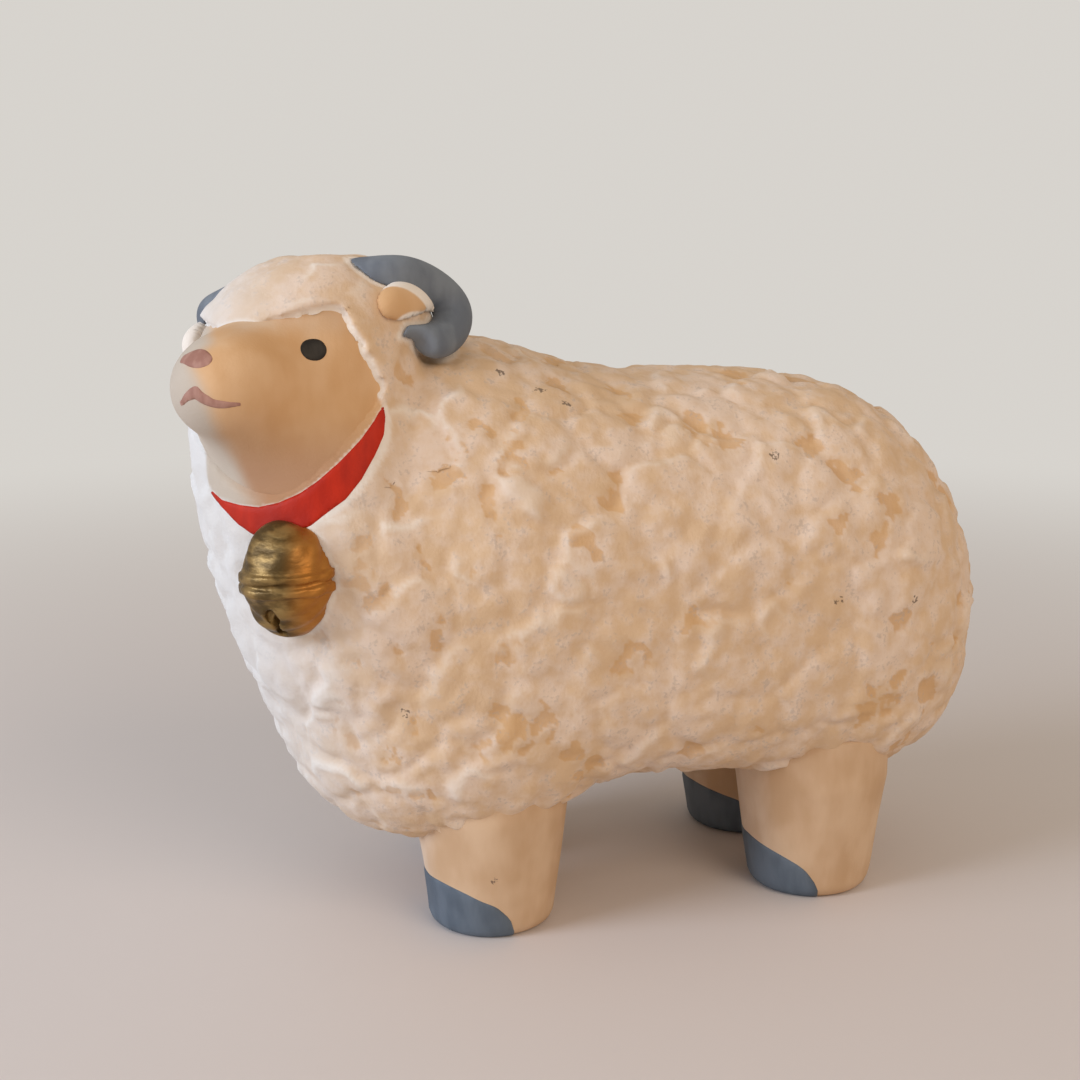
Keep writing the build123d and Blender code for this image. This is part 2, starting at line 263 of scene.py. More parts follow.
def plain_mesh(piece):
    """The piece's mesh with its modifiers applied; the piece itself is removed."""
    bpy.context.view_layer.update()
    evaluated = piece.evaluated_get(bpy.context.evaluated_depsgraph_get())
    mesh = bpy.data.meshes.new_from_object(evaluated)
    bpy.data.objects.remove(piece)
    return mesh


def joined_copy(names):
    """One mesh of copies of CAD nodes with their loose triangles merged."""
    form = bmesh.new()
    for name in names:
        form.from_mesh(frame["nodes"][name].data)
    bmesh.ops.remove_doubles(form, verts=form.verts, dist=MERGE_MM * MM)
    return form


def remeshed(name, form, voxel_mm, smoothing):
    """An even skin over the form, without its inner hollows."""
    mesh = bpy.data.meshes.new(name)
    form.to_mesh(mesh)
    form.free()
    piece = new_piece(name, mesh)
    voxel = piece.modifiers.new("voxel", "REMESH")
    voxel.mode = "VOXEL"
    voxel.voxel_size = voxel_mm * MM
    voxel.use_smooth_shade = True
    return outer_island(eased_mesh(piece, smoothing))


def eased_mesh(piece, rounds):
    """The piece's mesh once its ledges are smoothed out; the piece itself is removed."""
    ease = piece.modifiers.new("ease", "SMOOTH")
    ease.factor = EASE_FACTOR
    ease.iterations = rounds
    return plain_mesh(piece)


def eased_values(mesh, values, rounds):
    """Values averaged with those of the neighbouring points, round after round."""
    ends = np.empty(len(mesh.edges) * 2, np.int32)
    mesh.edges.foreach_get("vertices", ends)
    one, other = ends.reshape(-1, 2).T
    size = len(values)
    neighbours = np.bincount(ends, minlength=size)
    for _ in range(rounds):
        around = np.bincount(one, values[other], size) + np.bincount(other, values[one], size)
        values = (values + around / neighbours) / 2
    return values


def outer_island(mesh):
    """Keeps the largest connected skin of a mesh."""
    form = bmesh.new()
    form.from_mesh(mesh)
    form.verts.ensure_lookup_table()
    island = [-1] * len(form.verts)
    sizes = []
    for start in form.verts:
        if island[start.index] >= 0:
            continue
        number = len(sizes)
        island[start.index] = number
        stack = [start]
        count = 0
        while stack:
            vert = stack.pop()
            count += 1
            for edge in vert.link_edges:
                other = edge.other_vert(vert)
                if island[other.index] < 0:
                    island[other.index] = number
                    stack.append(other)
        sizes.append(count)
    keep = sizes.index(max(sizes))
    spare = [vert for vert in form.verts if island[vert.index] != keep]
    bmesh.ops.delete(form, geom=spare, context="VERTS")
    form.to_mesh(mesh)
    form.free()
    return mesh


def move_points(mesh, points):
    mesh.vertices.foreach_set("co", points.astype(np.float32).ravel())
    mesh.update()
    return mesh


def positions(mesh):
    points = np.empty(len(mesh.vertices) * 3, np.float32)
    mesh.vertices.foreach_get("co", points)
    return points.reshape(-1, 3).astype(float)


def normals(mesh):
    ways = np.empty(len(mesh.vertices) * 3, np.float32)
    mesh.vertex_normals.foreach_get("vector", ways)
    return ways.reshape(-1, 3).astype(float)


def mesh_from(name, points, faces):
    mesh = bpy.data.meshes.new(name)
    mesh.from_pydata([tuple(p) for p in points], [], faces)
    mesh.validate()
    mesh.polygons.foreach_set("use_smooth", [True] * len(mesh.polygons))
    mesh.update()
    return mesh


def shell(name, faces, outer, inner, ways=None):
    """A closed wall between two layers of points that share the same open patch of faces.
    Given the normals of the whole surface, the patch shades without a seam at its border."""
    used = sorted({v for face in faces for v in face})
    place = {v: i for i, v in enumerate(used)}
    count = len(used)
    front = [tuple(place[v] for v in face) for face in faces]
    back = [tuple(v + count for v in reversed(face)) for face in front]
    edges = {}
    for face in front:
        for a, b in zip(face, face[1:] + face[:1]):
            edges[(a, b)] = True
    rim = [(b, a, a + count, b + count) for a, b in edges if (b, a) not in edges]
    points = np.concatenate([outer[used], inner[used]])
    mesh = mesh_from(name, points, front + back + rim)
    if ways is not None:
        mesh.normals_split_custom_set_from_vertices(np.concatenate([ways[used], -ways[used]]).tolist())
    return mesh, used


def face_tuples(mesh):
    return [tuple(polygon.vertices) for polygon in mesh.polygons]


def set_attribute(mesh, name, values):
    made = mesh.attributes.get(name) or mesh.attributes.new(name, "FLOAT", "POINT")
    made.data.foreach_set("value", np.asarray(values, np.float32))


# Fleece relief: shallow pressed plates, some with a raised ridge along one side, and small flat chips
RELIEF_INPUTS = {
    "Plate Size": 9.5,
    "Warp": 3.2,
    "Warp Size": 7.0,
    "Step": 0.30,
    "Tilt": 0.45,
    "Dome": 0.55,
    "Ridge Height": 0.58,
    "Ridge Width": 0.75,
    "Lump Size": 5.0,
    "Lump Height": 0.26,
    "Chip Size": 4.4,
    "Chip Share": 0.15,
    "Chip Depth": 0.36,
    "Grain Size": 2.0,
    "Grain Height": 0.28,
    "Level": 0.55,
    "Seed": 4.0,
}
SEED_STRIDE = (31.7, 17.3, 23.9)
HALVES = (0.5, 0.5, 0.5)
RIDGE_SIDE = (-0.10, -0.55, 0.30)
RIDGE_END_SHARE = 2.4
RIDGE_TURN = (0.1, 0.8)
RIDGE_CHANCE = (0.30, 0.75)
DOME_EDGE_MM = 2.4
LUMP_EDGE_MM = 1.6
CHIP_EDGE = (0.03, 0.15)
RAGGED_SIZE_MM = 2.2
RAGGED_MM = 1.7


def fleece_tree(material):
    """Geometry Nodes that press the fleece into a skin, in millimetres along its normals."""
    tree = bpy.data.node_groups.new("fleece_relief", "GeometryNodeTree")
    sockets = tree.interface
    for way in ("INPUT", "OUTPUT"):
        sockets.new_socket("Geometry", in_out=way, socket_type="NodeSocketGeometry")
    for name, value in RELIEF_INPUTS.items():
        sockets.new_socket(name, in_out="INPUT", socket_type="NodeSocketFloat").default_value = value
    given = add(tree, "NodeGroupInput").outputs
    spot = add(tree, "GeometryNodeInputPosition")
    in_mm = add(tree, "ShaderNodeVectorMath", {0: spot, "Scale": 1 / MM}, operation="SCALE")
    seed = add(tree, "ShaderNodeCombineXYZ", {axis: given["Seed"] for axis in range(3)})
    point = add(tree, "ShaderNodeVectorMath", {0: seed, 1: SEED_STRIDE, 2: in_mm}, operation="MULTIPLY_ADD")
    scale = {}
    for name in ("Warp", "Plate", "Lump", "Chip", "Grain"):
        scale[name] = add(tree, "ShaderNodeMath", {0: 1.0, 1: given[name + " Size"]}, operation="DIVIDE")

    # The plates wander from a regular pattern
    drift = add(tree, "ShaderNodeTexNoise", {"Vector": point, "Scale": scale["Warp"], "Detail": 1.0})
    drift = drift.outputs["Color"]
    centred = add(tree, "ShaderNodeVectorMath", {0: drift, 1: HALVES}, operation="SUBTRACT")
    swing = add(tree, "ShaderNodeMath", {0: given["Warp"], 1: 2.0}, operation="MULTIPLY")
    moved = add(tree, "ShaderNodeVectorMath", {0: centred, "Scale": swing}, operation="SCALE")
    warped = add(tree, "ShaderNodeVectorMath", {0: point, 1: moved}, operation="ADD")
    cells = {"Vector": warped, "Scale": scale["Plate"]}
    plate = add(tree, "ShaderNodeTexVoronoi", cells, feature="F1")
    border = add(tree, "ShaderNodeTexVoronoi", cells, feature="DISTANCE_TO_EDGE")
    inset = add(tree, "ShaderNodeMath", {0: border, 1: given["Plate Size"]}, operation="MULTIPLY")
    draws = plate.outputs["Color"]
    chance = add(tree, "ShaderNodeSeparateXYZ", {0: draws}).outputs

    # Each plate stands at its own height and leans; its ridge lies on the side it leans to
    middle = plate.outputs["Position"]
    from_middle = add(tree, "ShaderNodeVectorMath", {0: warped, 1: middle}, operation="SUBTRACT")
    random_way = add(tree, "ShaderNodeVectorMath", {0: draws, 1: HALVES}, operation="SUBTRACT")
    lean = add(tree, "ShaderNodeVectorMath", {0: random_way, 1: RIDGE_SIDE}, operation="ADD")
    lean = add(tree, "ShaderNodeVectorMath", {0: lean}, operation="NORMALIZE")
    along = add(tree, "ShaderNodeVectorMath", {0: from_middle, 1: lean}, operation="DOT_PRODUCT")
    along = along.outputs["Value"]
    reach = add(tree, "ShaderNodeVectorMath", {0: from_middle}, operation="LENGTH").outputs["Value"]
    facing = add(tree, "ShaderNodeMath", {0: along, 1: reach}, operation="DIVIDE")
    slope = add(tree, "ShaderNodeMath", {0: along, 1: given["Plate Size"]}, operation="DIVIDE")
    tilt = add(tree, "ShaderNodeMath", {0: slope, 1: given["Tilt"]}, operation="MULTIPLY")
    offset = add(tree, "ShaderNodeMath", {0: chance[0], 1: 0.5}, operation="SUBTRACT")
    stand = add(tree, "ShaderNodeMath", {0: offset, 1: given["Step"], 2: tilt}, operation="MULTIPLY_ADD")
    dome = {"Value": inset, "From Min": 0.0, "From Max": DOME_EDGE_MM}
    dome = add(tree, "ShaderNodeMapRange", dome, interpolation_type="SMOOTHSTEP")
    stand = add(tree, "ShaderNodeMath", {0: dome, 1: given["Dome"], 2: stand}, operation="MULTIPLY_ADD")
    rise = {"Value": inset, "From Min": 0.0, "From Max": given["Ridge Width"]}
    rise = add(tree, "ShaderNodeMapRange", rise, interpolation_type="SMOOTHSTEP")
    end = add(tree, "ShaderNodeMath", {0: given["Ridge Width"], 1: RIDGE_END_SHARE}, operation="MULTIPLY")
    fall = {"Value": inset, "From Min": given["Ridge Width"], "From Max": end, "To Min": 1.0, "To Max": 0.0}
    fall = add(tree, "ShaderNodeMapRange", fall, interpolation_type="SMOOTHSTEP")
    side = {"Value": facing, "From Min": RIDGE_TURN[0], "From Max": RIDGE_TURN[1]}
    side = add(tree, "ShaderNodeMapRange", side, interpolation_type="SMOOTHSTEP")
    has_ridge = {"Value": chance[1], "From Min": RIDGE_CHANCE[0], "From Max": RIDGE_CHANCE[1]}
    has_ridge = add(tree, "ShaderNodeMapRange", has_ridge, interpolation_type="SMOOTHSTEP")
    crest = add(tree, "ShaderNodeMath", {0: rise, 1: fall}, operation="MULTIPLY")
    sided = add(tree, "ShaderNodeMath", {0: side, 1: has_ridge}, operation="MULTIPLY")
    ridge = add(tree, "ShaderNodeMath", {0: crest, 1: sided}, operation="MULTIPLY")

    # Smaller lumps on the plates
    cells = {"Vector": warped, "Scale": scale["Lump"]}
    lump = add(tree, "ShaderNodeTexVoronoi", cells, feature="DISTANCE_TO_EDGE")
    lump = add(tree, "ShaderNodeMath", {0: lump, 1: given["Lump Size"]}, operation="MULTIPLY")
    lump = {"Value": lump, "From Min": 0.0, "From Max": LUMP_EDGE_MM}
    lump = add(tree, "ShaderNodeMapRange", lump, interpolation_type="SMOOTHSTEP")

    # Angular ragged chips with a flat floor where clay was pressed away, and a finer unevenness
    fine = add(tree, "ShaderNodeTexNoise", {"Vector": point, "Scale": 1 / RAGGED_SIZE_MM, "Detail": 1.0})
    fine = add(tree, "ShaderNodeVectorMath", {0: fine.outputs["Color"], 1: HALVES}, operation="SUBTRACT")
    fine = add(tree, "ShaderNodeVectorMath", {0: fine, "Scale": 2 * RAGGED_MM}, operation="SCALE")
    ragged = add(tree, "ShaderNodeVectorMath", {0: warped, 1: fine}, operation="ADD")
    cells = {"Vector": ragged, "Scale": scale["Chip"]}
    chip = add(tree, "ShaderNodeTexVoronoi", cells, feature="F1")
    rim = add(tree, "ShaderNodeTexVoronoi", cells, feature="DISTANCE_TO_EDGE")
    draw = add(tree, "ShaderNodeSeparateXYZ", {0: chip.outputs["Color"]}).outputs
    chosen = add(tree, "ShaderNodeMath", {0: draw[0], 1: given["Chip Share"]}, operation="LESS_THAN")
    within = {"Value": rim, "From Min": CHIP_EDGE[0], "From Max": CHIP_EDGE[1]}
    within = add(tree, "ShaderNodeMapRange", within, interpolation_type="SMOOTHSTEP")
    bare = add(tree, "ShaderNodeMath", {0: chosen, 1: within}, operation="MULTIPLY")
    grain = add(tree, "ShaderNodeTexNoise", {"Vector": warped, "Scale": scale["Grain"], "Detail": 2.0})
    grit = add(tree, "ShaderNodeMath", {0: grain, 1: 0.5}, operation="SUBTRACT")

    height = {0: ridge, 1: given["Ridge Height"], 2: stand}
    height = add(tree, "ShaderNodeMath", height, operation="MULTIPLY_ADD")
    for part, size in ((grit, "Grain Height"), (lump, "Lump Height")):
        height = add(tree, "ShaderNodeMath", {0: part, 1: given[size], 2: height}, operation="MULTIPLY_ADD")
    dip = add(tree, "ShaderNodeMath", {0: bare, 1: given["Chip Depth"]}, operation="MULTIPLY")
    height = add(tree, "ShaderNodeMath", {0: height, 1: dip}, operation="SUBTRACT")
    soft = add(tree, "GeometryNodeBlurAttribute", {"Value": height, "Iterations": 1})
    raised = add(tree, "ShaderNodeMath", {0: soft, 1: given["Level"]}, operation="SUBTRACT")
    wool = add(tree, "GeometryNodeInputNamedAttribute", {"Name": "wool"}, data_type="FLOAT")
    lift = add(tree, "ShaderNodeMath", {0: raised, 1: wool}, operation="MULTIPLY")
    lift = add(tree, "ShaderNodeMath", {0: lift, 1: MM}, operation="MULTIPLY")
    way = add(tree, "GeometryNodeInputNormal")
    push = add(tree, "ShaderNodeVectorMath", {0: way, "Scale": lift}, operation="SCALE")

    flow = given["Geometry"]
    for name, value in (("ridge", ridge), ("bare", bare)):
        kept = {"Geometry": flow, "Name": name, "Value": value}
        flow = add(tree, "GeometryNodeStoreNamedAttribute", kept, data_type="FLOAT")
    shaped = add(tree, "GeometryNodeSetPosition", {"Geometry": flow, "Offset": push})
    real = add(tree, "GeometryNodeRealizeInstances", {"Geometry": shaped})
    dressed = add(tree, "GeometryNodeSetMaterial", {"Geometry": real, "Material": material})
    add(tree, "NodeGroupOutput", {"Geometry": dressed})
    return tree


def with_tree(mesh, tree, values):
    """The mesh after a Geometry Nodes tree, as a plain mesh."""
    piece = new_piece("growing", mesh)
    modifier = piece.modifiers.new("tree", "NODES")
    modifier.node_group = tree
    for item in tree.interface.items_tree:
        if item.in_out == "INPUT" and item.name in values:
            modifier[item.identifier] = float(values[item.name])
    return plain_mesh(piece)


# Whitewash: its colours, the size of its patches, dabs and grit, and where each layer starts and is full.
# Chalk grit is finer than this; it is drawn coarse enough to show
WASH_THIN = "#D8BA98"
WASH = "#E2CCB8"
WASH_THICK = "#F0E7DC"
# Painted cool light: the cooler white laid over the chest and brow
CHEST_PAINTED_COOL_LIGHT = "#DDE0E1"
BARE_CLAY = "#D1A775"
SCUFF_GREY = "#BDAD9F"
PATCH_MM = 11
DAB_MM = 2.6
GRIT_MM = 0.55
WASH_EDGE = (0.80, 1.22)
OCHRE_TEAR_SHARE = 0.9
OCHRE_EDGE = (0.62, 1.35)
OCHRE_SHARE = 0.7
SCUFF_EDGE = (1.10, 1.30)
SCUFF_SHARE = 0.5
# White paint on the ridges, with a painted highlight that grows towards the front: where it fades, its shares
RIDGE_HIGHLIGHT_FADE_MM = (0, -45)
RIDGE_WHITE_AND_HIGHLIGHT_SHARES = (0.25, 0.9)
# Painted cool light over chest and brow: where it fades in, its share, and how far back it reaches on the
# crown
CHEST_LIGHT_FADE_MM = (-24, -54)
CHEST_LIGHT_SHARE = 0.85
CROWN_LIGHT_FADE_MM = (78, 92)
CROWN_LIGHT_SHIFT_MM = 11
CHALK_ROUGHNESS = 0.88
CHALK_SHINE = 0.2
CHALK_GRIT_SHARE = 0.5
CHALK_TOOTH_MM = 0.22
CHALK_TOOTH_SHARE = 0.7

# Brushed paint: the face's colours, streaks drawn out downwards, mottling and tooth. The grain of such
# paint is finer than the tooth; it is drawn coarse enough to show
FACE_TAN = "#D5AB7E"
# Painted shade: a duller brown towards the bottom of the face
FACE_PAINTED_SHADE = "#B28A6A"
# Pale for the face's front edge and far side: a wash, with painted light in it
PALE_WASH_AND_LIGHT = "#C3B7A8"
# Heights over which the painted shade fades in
SHADE_FADE_MM = (82, 71)
STREAK_DRAW = (1.0, 1.0, 0.35)
MOTTLE_MM = 9
PAINT_EDGE = (0.75, 1.25)
PALE_TEAR_SHARE = 0.5
PALE_EDGE = (0.35, 1.15)
PAINT_SHINE = 0.3
TOOTH_MM = 0.45
TOOTH_DEPTH_MM = 0.06
TOOTH_SHARE = 0.6

# Gold paint. Bronze flakes are finer than these, which are drawn coarse enough to show.
# Each row of painted reflections: from where to where across the bell, tint, its share
GOLD_THIN = "#57431F"
GOLD_THICK = "#947847"
BELL_PAINTED_REFLECTIONS = (((-42, -38), "#B9782B", 0.8), ((-46, -53), "#A29377", 0.6))
GOLD_STREAK_DRAW = (0.6, 0.6, 1.4)
GOLD_STREAK_MM = 2.0
GOLD_EDGE = (0.38, 0.62)
FLAKE_MM = 0.25
FLAKE_SHARE = 0.2
GOLD_ROUGHNESS = 0.34
GOLD_METALLIC = 0.6
GOLD_BRUSH_MM = 0.35
GOLD_BRUSH_SHARE = 0.7

# Knocks: dark specks at places in the photograph
FLEECE_MARKS_PX = [(500, 370), (540, 388), (567, 403), (405, 714), (775, 455), (840, 600), (918, 600)]
FLEECE_MARK_MM = 1.8
FACE_MARKS_PX = [(303, 369)]
FACE_MARK_MM = 0.6
LEG_MARKS_PX = [(494, 880)]
LEG_MARK_MM = 1.2
MARK_BROWN = "#6A5A4D"
MARK_CORE_SHARE = 0.2
MARK_PULL_SHARE = 0.46
MARK_EDGE = (0.90, 0.96)
MARK_SHARE = 0.8


# Materials
def start_material(name):
    material = bpy.data.materials.new(name)
    material.use_nodes = True
    tree = material.node_tree
    shader = next(n for n in tree.nodes if n.type == "BSDF_PRINCIPLED")
    return material, tree, shader


def mm_scale(size_mm):
    """Texture scale, per metre, at which a pattern repeats about every size_mm."""
    return 1 / (size_mm * MM)


def node_tree(name):
    """Search tree over a CAD node's triangles."""
    mesh = frame["nodes"][name].data
    return BVHTree.FromPolygons(positions(mesh).tolist(), face_tuples(mesh))


def struck_points(pixels, names):
    """Points of CAD nodes seen at pixels of the photograph."""
    trees = [node_tree(name) for name in names]
    points = []
    for px in pixels:
        hits = [tree.ray_cast(EYE_POINT, pixel_ray(px)) for tree in trees]
        hits = [hit for hit in hits if hit[0] is not None]
        points.append(min(hits, key=lambda hit: hit[3])[0])
    return points


def scuffed(tree, spot, colour, grit, marks, reach_mm):
    """The colour with clusters of dark specks where the figure was knocked."""
    inked = 0.0
    for mark in marks:
        gap = add(tree, "ShaderNodeVectorMath", {0: spot, 1: mark}, operation="DISTANCE").outputs["Value"]
        near = {"Value": gap, "From Min": reach_mm * MM, "From Max": MARK_CORE_SHARE * reach_mm * MM}
        near = add(tree, "ShaderNodeMapRange", near, interpolation_type="SMOOTHSTEP")
        inked = add(tree, "ShaderNodeMath", {0: near, 1: inked}, operation="MAXIMUM")
    torn = add(tree, "ShaderNodeMath", {0: inked, 1: MARK_PULL_SHARE, 2: grit}, operation="MULTIPLY_ADD")
    shown = {"Value": torn, "From Min": MARK_EDGE[0], "From Max": MARK_EDGE[1], "To Max": MARK_SHARE}
    shown = add(tree, "ShaderNodeMapRange", shown)
    specks = {"Factor": shown, 6: colour, 7: linear(MARK_BROWN)}
    return add(tree, "ShaderNodeMix", specks, data_type="RGBA").outputs[2]


def whitewash_on_clay():
    """Chalky whitewash brushed over unglazed clay gives the eye matt cream plates, white ridges and
    margins, ochre clay in the chips and grey scuffs. A painted cool light whitens the chest and brow, the
    ridges carry a painted highlight towards the front, and the face-coloured strip above the collar has
    painted shade lower down."""
    material, tree, shader = start_material("brushed_whitewash_with_painted_light_and_shade")
    spot = add(tree, "ShaderNodeTexCoord").outputs["Object"]
    given = {}
    for name in SHOWN_NAMES:
        given[name] = add(tree, "ShaderNodeAttribute", attribute_name=name).outputs["Fac"]
    patch = add(tree, "ShaderNodeTexNoise", {"Vector": spot, "Scale": mm_scale(PATCH_MM), "Detail": 4.0})
    dab = add(tree, "ShaderNodeTexNoise", {"Vector": spot, "Scale": mm_scale(DAB_MM), "Detail": 5.0})
    grit = add(tree, "ShaderNodeTexNoise", {"Vector": spot, "Scale": mm_scale(GRIT_MM), "Detail": 3.0})
    both = add(tree, "ShaderNodeMath", {0: patch, 1: dab}, operation="ADD")
    thick = {"Value": both, "From Min": WASH_EDGE[0], "From Max": WASH_EDGE[1]}
    thick = add(tree, "ShaderNodeMapRange", thick, interpolation_type="SMOOTHSTEP")

    # Ochre clay in the chips, torn at the edge by the brush, and where the wash ran thin
    torn = {0: dab, 1: OCHRE_TEAR_SHARE, 2: given["bare"]}
    torn = add(tree, "ShaderNodeMath", torn, operation="MULTIPLY_ADD")
    ochre = {"Value": torn, "From Min": OCHRE_EDGE[0], "From Max": OCHRE_EDGE[1], "To Max": OCHRE_SHARE}
    ochre = add(tree, "ShaderNodeMapRange", ochre, interpolation_type="SMOOTHSTEP")
    woolly = add(tree, "ShaderNodeMath", {0: ochre, 1: given["wool"]}, operation="MULTIPLY")

    # Grey scuffs from handling
    rubbed = add(tree, "ShaderNodeMath", {0: dab, 1: grit}, operation="ADD")
    rubbed = {"Value": rubbed, "From Min": SCUFF_EDGE[0], "From Max": SCUFF_EDGE[1], "To Max": SCUFF_SHARE}
    rubbed = add(tree, "ShaderNodeMapRange", rubbed, interpolation_type="SMOOTHSTEP")

    # Thick white on the ridges and beside the painted parts, and a painted cool light over the chest and brow
    across = add(tree, "ShaderNodeVectorMath", {0: spot, 1: RIGHTWARD}, operation="DOT_PRODUCT")
    across = across.outputs["Value"]
    # The ridges grow whiter towards the front: a painted highlight over the white ridge paint
    ridge_highlight = {"Value": across, "From Min": RIDGE_HIGHLIGHT_FADE_MM[0] * MM, "From Max": RIDGE_HIGHLIGHT_FADE_MM[1] * MM}
    low, high = RIDGE_WHITE_AND_HIGHLIGHT_SHARES
    ridge_highlight = add(tree, "ShaderNodeMapRange", {**ridge_highlight, "To Min": low, "To Max": high})
    crest = add(tree, "ShaderNodeMath", {0: given["ridge"], 1: ridge_highlight}, operation="MULTIPLY")
    whiter = add(tree, "ShaderNodeMath", {0: crest, 1: given["margin"]}, operation="MAXIMUM")
    height = add(tree, "ShaderNodeSeparateXYZ", {0: spot}).outputs[2]
    crown = {"Value": height, "From Min": CROWN_LIGHT_FADE_MM[0] * MM, "From Max": CROWN_LIGHT_FADE_MM[1] * MM}
    crown = add(tree, "ShaderNodeMapRange", {**crown, "To Max": CROWN_LIGHT_SHIFT_MM * MM})
    ahead = add(tree, "ShaderNodeMath", {0: across, 1: crown}, operation="ADD")
    front = {"Value": ahead, "From Min": CHEST_LIGHT_FADE_MM[0] * MM, "From Max": CHEST_LIGHT_FADE_MM[1] * MM}
    front = {**front, "To Max": CHEST_LIGHT_SHARE}
    front = add(tree, "ShaderNodeMapRange", front, interpolation_type="SMOOTHSTEP")

    # The smooth strip between face and collar is painted like the face, with the same painted shade lower
    # down and the same pale wash and painted light
    painted_shade = {"Value": height, "From Min": SHADE_FADE_MM[0] * MM, "From Max": SHADE_FADE_MM[1] * MM}
    painted_shade = add(tree, "ShaderNodeMapRange", painted_shade, interpolation_type="SMOOTHSTEP")
    fleshy = linear(FACE_TAN)
    for share, tint in ((painted_shade, FACE_PAINTED_SHADE), (given["pale"], PALE_WASH_AND_LIGHT)):
        layer = {"Factor": share, 6: fleshy, 7: linear(tint)}
        fleshy = add(tree, "ShaderNodeMix", layer, data_type="RGBA").outputs[2]

    # The layers lie over one another in the order in which they were brushed
    colour = linear(WASH_THIN)
    washes = [(thick, WASH), (woolly, BARE_CLAY), (rubbed, SCUFF_GREY), (whiter, WASH_THICK)]
    washes = [(share, linear(tint)) for share, tint in washes + [(front, CHEST_PAINTED_COOL_LIGHT)]]
    for share, tint in washes + [(given["cheek"], fleshy)]:
        layer = {"Factor": share, 6: colour, 7: tint}
        colour = add(tree, "ShaderNodeMix", layer, data_type="RGBA").outputs[2]
    marks = struck_points(FLEECE_MARKS_PX, SKIN_NODES)
    colour = scuffed(tree, spot, colour, grit, marks, FLEECE_MARK_MM)
    tree.links.new(colour, shader.inputs["Base Color"])
    shader.inputs["Roughness"].default_value = CHALK_ROUGHNESS
    shader.inputs["Specular IOR Level"].default_value = CHALK_SHINE
    chalk = add(tree, "ShaderNodeMath", {0: grit, 1: CHALK_GRIT_SHARE, 2: dab}, operation="MULTIPLY_ADD")
    tooth = {"Height": chalk, "Distance": CHALK_TOOTH_MM * MM, "Strength": CHALK_TOOTH_SHARE}
    tree.links.new(add(tree, "ShaderNodeBump", tooth).outputs[0], shader.inputs["Normal"])
    return material


def painted_clay(name, light, dark, streak_mm, roughness, pale=None, marks=(), mark_mm=0, low=None):
    """Matt paint brushed on smooth clay gives the eye soft streaks, faint mottling and a fine tooth.
    A low colour, painted shade, darkens it towards the bottom. A pale colour lies over it by each point's
    pale share: a brushed wash in places, painted light in others."""
    material, tree, shader = start_material(name)
    spot = add(tree, "ShaderNodeTexCoord").outputs["Object"]
    drawn = add(tree, "ShaderNodeMapping", {"Vector": spot, "Scale": STREAK_DRAW})
    streak = add(tree, "ShaderNodeTexNoise", {"Vector": drawn, "Scale": mm_scale(streak_mm), "Detail": 3.0})
    tooth = add(tree, "ShaderNodeTexNoise", {"Vector": spot, "Scale": mm_scale(TOOTH_MM), "Detail": 4.0})
    broad = add(tree, "ShaderNodeTexNoise", {"Vector": spot, "Scale": mm_scale(MOTTLE_MM), "Detail": 2.0})
    mixed = add(tree, "ShaderNodeMath", {0: streak, 1: broad}, operation="ADD")
    share = {"Value": mixed, "From Min": PAINT_EDGE[0], "From Max": PAINT_EDGE[1]}
    layers = [(add(tree, "ShaderNodeMapRange", share, interpolation_type="SMOOTHSTEP"), light)]
    # The low colour is painted shade, darker towards the bottom
    if low:
        height = add(tree, "ShaderNodeSeparateXYZ", {0: spot}).outputs[2]
        painted_shade = {"Value": height, "From Min": SHADE_FADE_MM[0] * MM, "From Max": SHADE_FADE_MM[1] * MM}
        layers.append((add(tree, "ShaderNodeMapRange", painted_shade, interpolation_type="SMOOTHSTEP"), low))
    # Pale over the paint: a brushed wash in places, painted light in others
    if pale:
        over = add(tree, "ShaderNodeAttribute", attribute_name="pale").outputs["Fac"]
        torn = add(tree, "ShaderNodeMath", {0: streak, 1: PALE_TEAR_SHARE, 2: over}, operation="MULTIPLY_ADD")
        torn = {"Value": torn, "From Min": PALE_EDGE[0], "From Max": PALE_EDGE[1]}
        layers.append((add(tree, "ShaderNodeMapRange", torn, interpolation_type="SMOOTHSTEP"), pale))
    colour = linear(dark)
    for share, tint in layers:
        layer = {"Factor": share, 6: colour, 7: linear(tint)}
        colour = add(tree, "ShaderNodeMix", layer, data_type="RGBA").outputs[2]
    if marks:
        colour = scuffed(tree, spot, colour, tooth, marks, mark_mm)
    tree.links.new(colour, shader.inputs["Base Color"])
    shader.inputs["Roughness"].default_value = roughness
    shader.inputs["Specular IOR Level"].default_value = PAINT_SHINE
    brushed = {"Height": tooth, "Distance": TOOTH_DEPTH_MM * MM, "Strength": TOOTH_SHARE}
    tree.links.new(add(tree, "ShaderNodeBump", brushed).outputs[0], shader.inputs["Normal"])
    return material


